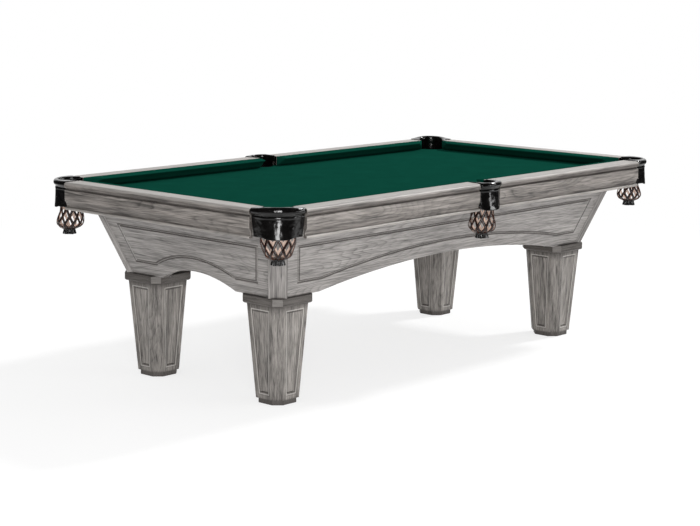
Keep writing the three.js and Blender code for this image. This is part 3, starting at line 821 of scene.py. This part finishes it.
class TABLE_OT_underframe(bpy.types.Operator):
    """Finish the slates and the pine beams that carry them"""

    bl_idname = "pool_table.underframe"
    bl_label = "Slates and beams"

    def execute(self, context):
        slate = finish_of("honed_slate", honed_slate)
        pine = finish_of("planed_pine", planed_pine)
        for name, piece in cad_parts.items():
            if name.startswith("slate_"):
                piece.data.materials[0] = slate
            elif "beam" in name:
                piece.data.materials[0] = pine
        return {"FINISHED"}


# ---------------------------------------------------------------- cloth

POCKET_CUT = {"corner": 0.062, "side": 0.056}  # radius of the cloth's cut-outs
RAIL_END = {"corner": 0.0216, "side": 0.066}  # the wood's end, at a rail's outer face
CLOTH_ORDER = (
    "front_left", "front_middle", "front_right", "back_right", "back_middle", "back_left",
)


def corner_back(out):
    """How far back from the corner of the nose lines a rail's end lies, `out` from the nose."""
    if out <= CUSHION_DEPTH:
        return CORNER_POINT - CORNER_RUN * out
    inner = CORNER_POINT - CORNER_RUN * CUSHION_DEPTH
    share = (out - CUSHION_DEPTH) / (RAIL_OUTER - CUSHION_DEPTH)
    return inner + (RAIL_END["corner"] - inner) * share


def side_back(out):
    return SIDE_POINT - SIDE_RUN * min(out, CUSHION_DEPTH)


def side_end(out):
    """Where the wood of a rail ends beside a side pocket, `out` from the nose."""
    inner = side_back(CUSHION_DEPTH)
    share = (out - CUSHION_DEPTH) / (RAIL_OUTER - CUSHION_DEPTH)
    return inner + (RAIL_END["side"] - inner) * share


class TABLE_OT_bed_cloth(bpy.types.Operator):
    """Stretch the bed cloth over the slates and down their edges"""

    bl_idname = "pool_table.bed_cloth"
    bl_label = "Bed cloth"

    def cut_out(self, name, steps=20):
        """Places on the arc that a pocket cuts from the sheet, anticlockwise round it."""
        where = POCKETS[name]
        middle = math.atan2(-where["y"], -where["x"])  # towards the middle of the table
        r = POCKET_CUT["side" if "middle" in name else "corner"]
        beyond_x, beyond_y = (
            (edge - abs(where[axis])) / r for edge, axis in zip(SLATE_EDGE, "xy")
        )
        sx, sy = -math.copysign(1, where["x"]), -math.copysign(1, where["y"])
        to_side = math.atan2(-sy * beyond_y, sx * math.sqrt(1 - beyond_y**2))
        if "middle" in name:
            ends = (to_side, math.copysign(math.pi, to_side) - to_side)
        else:
            ends = (to_side, math.atan2(sy * math.sqrt(1 - beyond_x**2), -sx * beyond_x))
        # Turned by whole turns, each end is the nearer way round from the middle.
        turns = sorted((a - middle + math.pi) % (2 * math.pi) - math.pi for a in ends)
        start, end = middle + turns[1], middle + turns[0]
        for i in range(steps + 1):
            a = start + (end - start) * i / steps
            yield Vector((where["x"] + r * math.cos(a), where["y"] + r * math.sin(a)))

    def execute(self, context):
        down = context.scene.table_cloth.fold_down
        outline = [point for name in CLOTH_ORDER for point in self.cut_out(name)]
        followed = list(zip(outline[-1:] + outline, outline[1:] + outline[:1], outline))
        if sum(a.x * b.y - b.x * a.y for _, b, a in followed) < 0:
            raise RuntimeError("the bed cloth's outline runs the wrong way round")
        edges = [(after - before).normalized() for before, after, _ in followed]
        section = [  # off the sheet's edge, height
            (-0.0040, BED_TOP), (-0.0012, BED_TOP), (0.0002, BED_TOP - 0.0003),
            (0.0009, BED_TOP - 0.0012), (0.0009, BED_TOP - down), (0.0001, BED_TOP - down),
            (0.0001, CLOTH_BOTTOM + 0.0001), (-0.0040, CLOTH_BOTTOM),
        ]
        rings = [
            [(p.x + edge.y * out, p.y - edge.x * out, z) for p, edge in zip(outline, edges)]
            for out, z in section
        ]
        made = finish_of("worsted_bed_cloth", worsted_cloth)
        piece = new_piece(
            "wool_bed_cloth", *skin(rings), [made], "bed_cloth", ["bed_cloth"], sharp=40
        )
        return {"FINISHED"}


def between(first, last, t):
    return tuple(a + (b - a) * t for a, b in zip(first, last))


class TABLE_OT_cushions(bpy.types.Operator):
    """Cover the six rubber cushions in cloth, tight over a rounded nose"""

    bl_idname = "pool_table.cushions"
    bl_label = "Cushions"

    def profile(self, cloth):
        """The covered rubber's section as (out from the nose line, height)."""
        back = CUSHION_DEPTH - 0.0003
        r = cloth.nose_radius
        nose = BED_TOP + 0.036
        top = (back - 0.002, RAIL_TOP - 0.0005)
        section = [
            (back, RAIL_BOTTOM + 0.0003), (back, RAIL_TOP - 0.0022),
            (back - 0.0006, RAIL_TOP - 0.0010), top,
        ]
        for i in range(1, 9):
            out, z = between(top, (r + 0.0006, nose + r), i / 9)
            section.append((out, z + cloth.crown * math.sin(math.pi * i / 9)))
        for i in range(9):
            a = math.radians(98 + 142 * i / 8)
            section.append((r + r * math.cos(a), nose + r * math.sin(a)))
        foot = (back * 0.72, RAIL_BOTTOM + 0.0072)
        start = section[-1]
        for i in range(1, 6):
            out, z = between(start, foot, i / 6)
            hollow = 0.0012 * math.sin(math.pi * i / 6)
            section.append((out + hollow, z + hollow))
        return [*section, foot, (back * 0.86, RAIL_BOTTOM + 0.0016)]

    def execute(self, context):
        # The cushions' cloth is the bed's cloth made 3% darker.
        made = finish_of("worsted_cushion_cloth", worsted_cloth, 0.97)
        section = self.profile(context.scene.table_cloth)
        middle = [sum(values) / len(section) for values in zip(*section)]

        def width_end(out):
            return HALF_WIDTH - corner_back(out)

        def length_end(out):
            return HALF_LENGTH - corner_back(out)

        # The middle of the table to the nose line, then the cushion's two ends along its rail.
        across = (HALF_LENGTH, (-1, width_end), (1, width_end))
        before = (HALF_WIDTH, (-1, length_end), (-1, side_back))
        beyond = (HALF_WIDTH, (1, side_back), (1, length_end))
        stops = {
            "end_left": across, "end_right": across, "back_left": before,
            "back_right": beyond, "front_right": before, "front_left": beyond,
        }
        for seed, (run, (base, *ends)) in enumerate(stops.items()):
            turn = math.radians(RUNS[run][0])
            c, s = math.cos(turn), math.sin(turn)

            def reach(out):
                return [sign * stop(out) for sign, stop in ends]

            # Near its ends the section draws in, so that the facings have rounded edges.
            ease = [(0.0, 0.0032), (0.0008, 0.0014), (0.0024, 0.0004), (0.005, 0.0)]
            first, last = reach(0.02)
            length = last - first
            steps = max(8, round(length / 0.05))
            stations = [
                *ease, *((length * i / steps, 0.0) for i in range(1, steps)),
                *((length - d, drawn) for d, drawn in reversed(ease)),
            ]
            rings = []
            for d, drawn in stations:
                ring = []
                for out, z in section:
                    inward = [m - v for m, v in zip(middle, (out, z))]
                    o, h = (
                        v + drawn * math.copysign(min(1, abs(way) / 0.01), way)
                        for v, way in zip((out, z), inward)
                    )
                    first, last = reach(max(0, out))
                    x = first + (last - first) * d / length
                    if d < 0.006:
                        x = first + d
                    elif length - d < 0.006:
                        x = last - (length - d)
                    puff = 0.0002 * noise.noise(Vector((x * 9, out * 60, seed * 3.7)))
                    y = base + o
                    ring.append((c * x - s * y, s * x + c * y, h + (puff if out < 0.045 else 0)))
                rings.append(ring)
            piece = new_piece(
                f"cloth_cushion_{run}", *skin(rings), [made], "cushion", [f"cushion_{run}"],
                sharp=55,
            )
        return {"FINISHED"}


# ---------------------------------------------------------------- leather

SHIELD_HEIGHT = 0.086
SHIELD_THICKNESS = 0.0036
SHIELD_SET_IN = 0.002  # the middle of the leather, in from the rib's outer face
WING_TURN, TIP_TURN = math.radians(48), math.radians(20)
WING_TIP = 0.0045
SHIELD_ROWS = 40
CUP_HEIGHT = 0.025
CUP_TABS = 16
CUP_SECTION = (  # share of the height from the top, radius, depth of the slits
    (-0.12, 0.0215, 0.0006), (0.0, 0.0262, 0.0012), (0.10, 0.0270, 0.0016),
    (0.22, 0.0248, 0.0016), (0.40, 0.0252, 0.0028), (0.70, 0.0272, 0.0046),
    (1.0, 0.0290, 0.0058), (1.0, 0.0205, 0.0016), (0.75, 0.0180, 0.0010),
)
HEM_DROP, HEM_WIDTH, HEM_THICKNESS, HEM_LIFT = 0.0225, 0.043, 0.0062, -0.0012
SIGHT_OUT = 0.0937  # from the nose line
SIGHT_SECTION = ((0.0050, -0.0012), (0.0052, -0.0002), (0.0046, 0.0002), (0.0015, 0.00035))
SUEDE, CUT_EDGE = 1, 2  # material numbers of a net, with black leather as 0


class TABLE_OT_collars(bpy.types.Operator):
    """Mould the leather pocket collars: a soft roll over a rib, flared into the throat"""

    bl_idname = "pool_table.collars"
    bl_label = "Pocket collars"

    def execute(self, context):
        leather = context.scene.table_leather
        made = finish_of("polished_black_leather", polished_leather)
        for seed, (name, where) in enumerate(POCKETS.items()):
            source = f"pocket_collar_{name}"
            piece = new_object(f"leather_collar_{name}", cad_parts[source].data.copy())
            modified(piece, "WELD", merge_threshold=2e-5)
            modified(piece, "REMESH", mode="VOXEL", voxel_size=0.0024)
            modified(piece, "SMOOTH", factor=0.5, iterations=6)
            mesh = applied(piece)
            normals = [v.normal.copy() for v in mesh.vertices]
            for vertex, normal in zip(mesh.vertices, normals):
                crease = 1 - abs(noise.noise(vertex.co * 21 + Vector((seed * 5.1, 0, 0)))) * 2.2
                swell = noise.noise(vertex.co * 13 + Vector((0, seed * 3.3, 0)))
                lift = leather.wrinkle * (0.45 * swell - 0.4 * max(0.0, crease) ** 3)
                vertex.co += normal * (lift + 0.0002)
                self.crown(where, vertex)
            mesh.materials.clear()
            mesh.materials.append(made)
            mesh.shade_smooth()
            settle(piece, "leather", [source])
            self.tabs(name, where, made)
        return {"FINISHED"}

    def crown(self, where, vertex):
        """Lifts the middle of the roll, most at its top."""
        c, s = math.cos(where["turn"]), math.sin(where["turn"])
        dx, dy = vertex.co.x - where["x"], vertex.co.y - where["y"]
        out, across = c * dx + s * dy, c * dy - s * dx
        foot = COLLAR_BOTTOM + 0.007
        share = clamp((vertex.co.z - foot) / (COLLAR_TOP - foot)) * clamp(out / 0.05)
        vertex.co.z += where["crown"] * share * max(0.0, 1 - (across / 0.1) ** 2)

    def tabs(self, name, where, made):
        """The leather tabs that finish the wood beside the throat."""
        vertices, faces = [], []
        for side in (-1, 1):
            plan = []
            for out, thick in ((0.0509, 0.0004), (0.0640, 0.0004), (0.0640, 0.0016),
                               (0.0509, 0.0016)):
                x, y = out - SIDE_OFFSET, side_end(out)
                if "middle" not in name:
                    along, reach = -corner_back(out) - CORNER_OFFSET, out - CORNER_OFFSET
                    x, y = (along + reach) / math.sqrt(2), (reach - along) / math.sqrt(2)
                plan.append((x, side * (y - thick)))
            rings = [
                [placed(where, (x, y, z)) for x, y in plan]
                for z in (RAIL_BOTTOM + 0.0004, RAIL_TOP - 0.0006)
            ]
            tab_vertices, tab_faces = skin(rings, len(vertices))
            vertices += tab_vertices
            faces += tab_faces
        new_piece(f"leather_tabs_{name}", vertices, faces, [made], "leather", sharp=30)


def smoothed(points, passes):
    """Open polyline with its corners rounded."""
    for _ in range(passes):
        inner = [
            (a + 2 * b + c) / 4 for a, b, c in zip(points, points[1:], points[2:])
        ]
        points = [points[0], *inner, points[-1]]
    return points


def evenly_spaced(path, spacing, least):
    """The path cut into at least `least` equal steps of about `spacing`."""
    runs = [0.0]
    for a, b in zip(path, path[1:]):
        runs.append(runs[-1] + (b - a).length)
    count = max(least, round(runs[-1] / spacing))
    even = []
    for i in range(count + 1):
        want = runs[-1] * i / count
        j = max(k for k in range(len(runs) - 1) if runs[k] <= want + 1e-9)
        t = (want - runs[j]) / max(1e-9, runs[j + 1] - runs[j])
        even.append(path[j].lerp(path[j + 1], min(1, t)))
    return even


class TABLE_OT_shields(bpy.types.Operator):
    """Hang the leather shields: bowed, folded back into wings and cut to a tongue"""

    bl_idname = "pool_table.shields"
    bl_label = "Pocket shields"

    def plan(self, where):
        """The shield in plan, from the end of one wing to the end of the other."""
        r = COLLAR_RADIUS - RIB_SET_IN - SHIELD_SET_IN
        centre = where["bulge"] - COLLAR_RADIUS
        reach = math.asin(where["shield_fold"] / (COLLAR_RADIUS - RIB_SET_IN))
        path = [
            Vector((centre + r * math.cos(reach * i / 16), r * math.sin(reach * i / 16)))
            for i in range(17)
        ]
        wing = where["shield_half"] - where["shield_fold"]
        away = Vector((-math.tan(WING_TURN), 1))
        path += [path[-1] + away * wing * i / 10 for i in range(1, 11)]
        if wing > 0.01:
            turned = Vector((-math.tan(TIP_TURN), 1))
            path += [path[-1] + turned * WING_TIP * i / 3 for i in range(1, 4)]
        half = evenly_spaced(path, 0.004, 18)
        return smoothed([Vector((p.x, -p.y)) for p in reversed(half[1:])] + half, 3)

    def bottom(self, where, y):
        """Height of the lower edge above the tongue's end."""
        fold = 0.96 * where["shield_fold"]
        return 0.006 * clamp((abs(y) - 0.5 * fold) / (0.5 * fold)) ** 2.2

    def sheet(self, where, seed, wrinkle):
        """The rows of the shield's middle surface, from its top."""
        top = COLLAR_BOTTOM - 0.0004
        plan = self.plan(where)
        last = len(plan) - 1
        rows = []
        for i in range(SHIELD_ROWS + 1):
            down = i / SHIELD_ROWS
            bow = where["flare"] * (0.4 * down + 0.6 * down**2)
            row = []
            for j, p in enumerate(plan):
                edge = (plan[min(last, j + 1)] - plan[max(0, j - 1)]).normalized()
                z = top - (SHIELD_HEIGHT - self.bottom(where, p.y)) * down
                s = (j / last - 0.5) * 2
                drape = noise.noise(Vector((s * 2.6 + seed * 7.7, z * 9, seed)))
                crease = noise.noise(Vector((s * 9 + seed * 2.1, z * 60, 3 + seed)))
                lift = wrinkle * 0.9 * min(1.0, down * 4) * (1.6 * drape + 0.8 * crease)
                flare = bow * max(0.0, 1 - (p.y / 0.07) ** 2)
                flare += 0.0015 * math.exp(-(((top - z - 0.005) / 0.0032) ** 2))
                x = p.x + edge.y * lift + flare
                y = p.y * (1 - where["drawn"] * down) - edge.x * lift
                row.append(tuple(placed(where, (x, y, z))))
            rows.append(row)
        return rows

    def execute(self, context):
        leather = context.scene.table_leather
        made = finish_of("polished_black_leather", polished_leather)
        for seed, (name, where) in enumerate(POCKETS.items()):
            rows = self.sheet(where, seed, leather.wrinkle)
            count = len(rows[0])
            corners = [i * count + j for i in range(SHIELD_ROWS) for j in range(count - 1)]
            faces = [(a, a + 1, a + count + 1, a + count) for a in corners]
            mesh = bpy.data.meshes.new(f"leather_shield_{name}")
            mesh.from_pydata([place for row in rows for place in row], [], faces)
            mesh.materials.append(made)
            piece = new_object(f"leather_shield_{name}", mesh)
            modified(piece, "SOLIDIFY", thickness=SHIELD_THICKNESS, offset=0)
            modified(
                piece, "BEVEL", width=0.0011, segments=2, limit_method="ANGLE",
                angle_limit=math.radians(50),
            )
            applied(piece).shade_smooth()
            settle(piece, "leather", [f"pocket_shield_{name}"])
        return {"FINISHED"}


def net_path(where):
    """The net's heights from its mouth to its neck, and its half widths there: out of the
    table and across."""
    bottom = NET_TOP - where["drop"]
    mouth = where["throat"] + 0.004 - 0.0012
    out, across = where["waist"]
    knots = (
        (NET_TOP - 0.001, mouth, mouth),
        (0.753, mouth - 0.001, mouth),
        (NET_TOP - 0.069, out, across),
        (bottom + 0.052, 0.055, 0.055),
        (bottom + 0.034, 0.047, 0.047),
        (bottom + CUP_HEIGHT - 0.002, 0.026, 0.026),
    )
    return zip(*knots)


def along_curve(heights, values, z):
    """Smooth value between knots at falling heights."""
    final = len(heights) - 1
    i = next(k for k in range(final) if z >= heights[k + 1] or k == final - 1)
    h0, h1 = heights[i], heights[i + 1]
    t = clamp((h0 - z) / (h0 - h1))
    a, b = values[i], values[i + 1]
    above, below = max(0, i - 1), min(final, i + 2)
    m0 = (b - values[above]) / max(1e-6, heights[above] - h1) * (h0 - h1)
    m1 = (values[below] - a) / max(1e-6, h0 - heights[below]) * (h0 - h1)
    if i == 0:
        m0 = b - a
    return (
        (2 * t**3 - 3 * t**2 + 1) * a + (t**3 - 2 * t**2 + t) * m0
        + (-2 * t**3 + 3 * t**2) * b + (t**3 - t**2) * m1
    )


class TABLE_OT_nets(bpy.types.Operator):
    """Weave the net bags of flat leather straps, gathered into a fringed cup"""

    bl_idname = "pool_table.nets"
    bl_label = "Pocket nets"

    def execute(self, context):
        leather = context.scene.table_leather
        black = finish_of("polished_black_strap", polished_leather)
        suede = finish_of("raw_suede", raw_leather, leather.suede, 0.16)
        cut = finish_of("cut_leather_edge", raw_leather, leather.edge, 0.3)
        turn = math.pi / leather.straps / leather.row
        steps = 40
        for seed, (name, where) in enumerate(POCKETS.items()):
            heights, *widths = net_path(where)
            top, low = heights[0], heights[-1]
            vertices, faces, kinds = [], [], []

            def surface(angle, z):
                """A place on the net and its half widths there."""
                a, b = (along_curve(heights, values, z) for values in widths)
                slip = where["slip"] * ((top - z) / (top - low)) ** 2
                return Vector((a * math.cos(angle) + slip, b * math.sin(angle), z)), a, b

            def strap(path, width, thickness, lift, inner, cut_edge):
                """A flat strap along places of (angle, height) on the net, `lift` out from
                it; `inner` and `cut_edge` are the materials of its inside and edges."""
                rings = []
                points = [surface(*p) for p in path]
                for i, (p, a, b) in enumerate(points):
                    before, after = points[max(0, i - 1)][0], points[min(len(path) - 1, i + 1)][0]
                    along = (after - before).normalized()
                    angle = path[i][0]
                    out = Vector((math.cos(angle) / a, math.sin(angle) / b, 0)).normalized()
                    out = (out - along * out.dot(along)).normalized()
                    side = along.cross(out)
                    front = p + out * (lift + thickness * 0.5)
                    rear = p + out * (lift - thickness * 0.5)
                    half, back = side * width * 0.38, side * width * 0.68
                    rings.append([front + half, front - half, rear - back, rear + back])
                strap_vertices, strap_faces = skin(rings, len(vertices))
                vertices.extend(placed(where, v) for v in strap_vertices)
                faces.extend(strap_faces)
                kinds.extend([0, cut_edge, inner, cut_edge] * (len(rings) - 1))
                kinds.extend([cut_edge, cut_edge])

            for hand in (-1, 1):
                for k in range(leather.straps):
                    path = []
                    for i in range(steps + 1):
                        z = top + (low - top) * i / steps
                        wander = 0.03 * noise.noise(Vector((k * 3.1 + hand, z * 30, seed)))
                        start = 2 * math.pi * k / leather.straps
                        path.append((start + hand * turn * (z - NET_TOP) + wander, z))
                    strap(
                        path, leather.strap_width, leather.strap_thickness, hand * 0.0008,
                        SUEDE, CUT_EDGE,
                    )
            # The hem round the mouth that the straps are cut from; it is made deep and black
            # inside, a dark band that stands as painted shade at the top of the net's inside.
            hem = [(2 * math.pi * i / 48, top - HEM_DROP) for i in range(49)]
            strap(hem, HEM_WIDTH, HEM_THICKNESS, HEM_LIFT, 0, 0)
            piece = new_piece(
                f"leather_net_{name}", vertices, faces, [black, suede, cut], "net_leather",
                [f"pocket_net_{name}"],
            )
            if len(piece.data.polygons) != len(kinds):
                raise RuntimeError("a net strap has lost a face")
            piece.data.polygons.foreach_set("material_index", kinds)
            piece.data.set_sharp_from_angle(angle=math.radians(50))
            self.cup(name, where, black, seed)
        return {"FINISHED"}

    def cup(self, name, where, made, seed):
        """The gathered end: strap ends bound at the neck, flaring into a slit fringe."""
        count = CUP_TABS * 6
        top = NET_TOP - where["drop"] + CUP_HEIGHT
        rings = []
        for down, radius, slit in CUP_SECTION:
            ring = []
            for i in range(count):
                a = 2 * math.pi * i / count
                groove = {0: 1.0, 1: 0.12, 5: 0.12}.get(i % 6, 0.0)
                wander = 0.0012 * noise.noise(Vector((math.cos(a) * 3, math.sin(a) * 3, seed)))
                r = radius - slit * groove + wander * down
                ragged = 0.0016 * noise.noise(Vector((i // 6 * 1.7, seed * 2.3, 0.5)))
                z = top - CUP_HEIGHT * down + (ragged + 0.0008 if down > 0.9 else 0)
                ring.append(placed(where, (r * math.cos(a) + where["slip"], r * math.sin(a), z)))
            rings.append(ring)
        new_piece(f"leather_cup_{name}", *skin(rings), [made], "net_leather", sharp=60)


class TABLE_OT_sights(bpy.types.Operator):
    """Inlay the pearl sights in the rails"""

    bl_idname = "pool_table.sights"
    bl_label = "Rail sights"

    def execute(self, context):
        made = finish_of("mother_of_pearl", mother_of_pearl)
        spots = []
        for side in (-1, 1):
            for k in (-3, -2, -1, 1, 2, 3):
                spots.append((k * HALF_LENGTH / 4, side * (HALF_WIDTH + SIGHT_OUT)))
            for k in (-1, 0, 1):
                spots.append((side * (HALF_LENGTH + SIGHT_OUT), k * HALF_WIDTH / 2))
        turns = [math.pi * i / 12 for i in range(24)]
        for i, (x, y) in enumerate(spots, 1):
            rings = [
                [(x + r * math.cos(a), y + r * math.sin(a), RAIL_TOP + h) for a in turns]
                for r, h in SIGHT_SECTION
            ]
            new_piece(f"pearl_sight_{i:02d}", *skin(rings), [made], "wood_rail")
        return {"FINISHED"}


# ---------------------------------------------------------------- stage

FLOOR_HALF = 40.0
FLOOR_GREY = 0.73  # how light the floor's own shading is where no shadow falls
LAMP_AIM = Vector((0, 0, 0.5))
BACKDROP_WAY = (0.64, 0.58, 0.50)
VIEW_FROM = (-5.88981, -5.27257, 1.75938)
VIEW_ANGLES = (-47.663, 9.748, 0.443)  # turn, dip and roll, in degrees
LENS = 93.2256  # in millimetres, on a 36 mm sensor


def any_ray(tree, path, kinds):
    """1 for a ray of one of these kinds."""
    first, *others = (path.outputs[f"Is {kind} Ray"] for kind in kinds)
    for other in others:
        first = node(tree, "Math", (first, other), operation="ADD")
    first.use_clamp = True
    return first


class TABLE_OT_stage(bpy.types.Operator):
    """Set the white studio floor, the soft lamps and the camera"""

    bl_idname = "pool_table.stage"
    bl_label = "Studio"

    def lamp(self, name, towards, distance, size, share, lean=0):
        """A soft lamp: `share` is how bright it makes a white surface that faces it, `lean`
        how many degrees its top leans to one side."""
        data = bpy.data.lights.new(name, "AREA")
        data.shape = "RECTANGLE"
        data.size, data.size_y = size
        data.energy = share * math.pi**2 * distance**2
        lamp = new_object(name, data)
        direction = Vector(towards).normalized()
        lamp.location = LAMP_AIM + direction * distance
        roll = Matrix.Rotation(math.radians(lean), 3, "Z")
        lamp.rotation_euler = (direction.to_track_quat("Z", "Y").to_matrix() @ roll).to_euler()

    def floor(self, stage):
        s = FLOOR_HALF
        mesh = bpy.data.meshes.new("studio_floor")
        mesh.from_pydata([(-s, -s, 0), (s, -s, 0), (s, s, 0), (-s, s, 0)], [], [(0, 1, 2, 3)])
        floor = new_object("studio_floor", mesh)
        made, tree = new_material("painted_studio_floor")
        path = node(tree, "LightPath")
        seen = any_ray(tree, path, ("Camera", "Glossy", "Transmission"))
        place = node(tree, "TexCoord").outputs["Object"]
        far = node(tree, "VectorMath", (place,), operation="LENGTH")

        # Seen, the floor is white but for a share of its own shading, and plain white
        # further out.
        fade = node(
            tree, "MapRange", (far, 2.4, 4.4, 0.0, 1.0), interpolation_type="SMOOTHSTEP"
        )
        paint = node(tree, "BsdfDiffuse", (colour(stage.floor),))
        faint = node(tree, "BsdfDiffuse", (colour(stage.floor, stage.shadow),))
        glow = node(tree, "Emission", (WHITE, 1 - stage.shadow * FLOOR_GREY))
        near = node(tree, "AddShader", (faint, glow))
        # Polish sees a dim room where the eye sees plain white.
        room = node(
            tree, "MapRange", (far, 2.4, 4.0, 0.16, 0.04), interpolation_type="SMOOTHSTEP"
        )
        strength = node(
            tree, "Mix", (path.outputs["Is Glossy Ray"], 1.0, room), data_type="FLOAT"
        )
        white = node(tree, "Emission", (WHITE, strength))
        shown = node(tree, "MixShader", (fade, near, white))
        mixed = node(tree, "MixShader", (seen, paint, shown))
        node(tree, "OutputMaterial", (mixed,))
        mesh.materials.append(made)

    def surroundings(self, stage):
        world = bpy.data.worlds.new("studio")
        world.use_nodes = True
        tree = world.node_tree
        tree.nodes.clear()
        path = node(tree, "LightPath")
        # Polish reflects a white backdrop behind and above, and a dark room elsewhere.
        way = node(tree, "TexCoord").outputs["Generated"]
        behind = node(tree, "VectorMath", (way, BACKDROP_WAY), operation="DOT_PRODUCT")
        backdrop = node(
            tree, "MapRange", (behind, 0.7, 0.92, 0.03, 1.0), interpolation_type="SMOOTHSTEP"
        )
        lit = node(
            tree, "Mix", (path.outputs["Is Glossy Ray"], stage.sky, backdrop),
            data_type="FLOAT",
        )
        seen = any_ray(tree, path, ("Camera", "Transmission"))
        strength = node(tree, "Mix", (seen, lit, 1.0), data_type="FLOAT")
        node(tree, "OutputWorld", (node(tree, "Background", (WHITE, strength)),))
        return world

    def camera(self):
        """From off the front left corner, at about head height."""
        turn, dip, roll = (math.radians(angle) for angle in VIEW_ANGLES)
        ahead = Vector(
            (-math.sin(turn) * math.cos(dip), math.cos(turn) * math.cos(dip), -math.sin(dip))
        )
        right = ahead.cross(Vector((0, 0, 1))).normalized()
        up = right.cross(ahead)
        x_axis = math.cos(roll) * right + math.sin(roll) * up
        y_axis = -math.sin(roll) * right + math.cos(roll) * up
        data = bpy.data.cameras.new("camera")
        data.sensor_width = 36.0
        data.lens = LENS
        data.clip_end = 200.0
        camera = new_object("camera", data)
        axes = Matrix((x_axis, y_axis, -ahead)).transposed().to_4x4()
        camera.matrix_world = Matrix.Translation(VIEW_FROM) @ axes
        return camera

    def execute(self, context):
        stage = context.scene.table_stage
        scene = context.scene
        scene.view_settings.view_transform = "Standard"
        self.floor(stage)
        scene.world = self.surroundings(stage)
        self.lamp("side_lamp", (0.70, -0.18, 0.67), 14.0, (1.6, 1.6), stage.key)
        self.lamp("front_lamp", (-4.74, -4.41, 0.8), 6.52, (1.4, 2.4), stage.fill)
        self.lamp("strip_lamp", (4.70, -7.12, 0.81), 8.57, (0.75, 5.2), stage.rim, -69)
        scene.camera = self.camera()
        return {"FINISHED"}


# ---------------------------------------------------------------- add-on


class TABLE_PT_sidebar(bpy.types.Panel):
    """The table's pieces, their finishes and the stage"""

    bl_idname = "TABLE_PT_sidebar"
    bl_label = "Pool Table"
    bl_space_type = "VIEW_3D"
    bl_region_type = "UI"
    bl_category = "Pool Table"

    def draw(self, context):
        for group in GROUPS:
            box = self.layout.box()
            settings = getattr(context.scene, group)
            for name in GROUPS[group].__annotations__:
                box.prop(settings, name)
        for operator in OPERATORS:
            self.layout.operator(operator.bl_idname)


GROUPS = {
    "table_wood": WoodFinish,
    "table_cloth": ClothFinish,
    "table_leather": LeatherFinish,
    "table_stage": StageSettings,
}
OPERATORS = (
    TABLE_OT_stage, TABLE_OT_underframe, TABLE_OT_cabinet, TABLE_OT_legs, TABLE_OT_rails,
    TABLE_OT_bed_cloth, TABLE_OT_cushions, TABLE_OT_collars, TABLE_OT_shields,
    TABLE_OT_nets, TABLE_OT_sights,
)
CLASSES = (*GROUPS.values(), *OPERATORS, TABLE_PT_sidebar)


def register():
    for made in CLASSES:
        bpy.utils.register_class(made)
    for name, made in GROUPS.items():
        setattr(bpy.types.Scene, name, PointerProperty(type=made))


def unregister():
    for name in GROUPS:
        delattr(bpy.types.Scene, name)
    for made in reversed(CLASSES):
        bpy.utils.unregister_class(made)


def main():
    register()
    for operator in OPERATORS:
        family, action = operator.bl_idname.split(".")
        getattr(getattr(bpy.ops, family), action)()


if __name__ == "__main__":
    main()
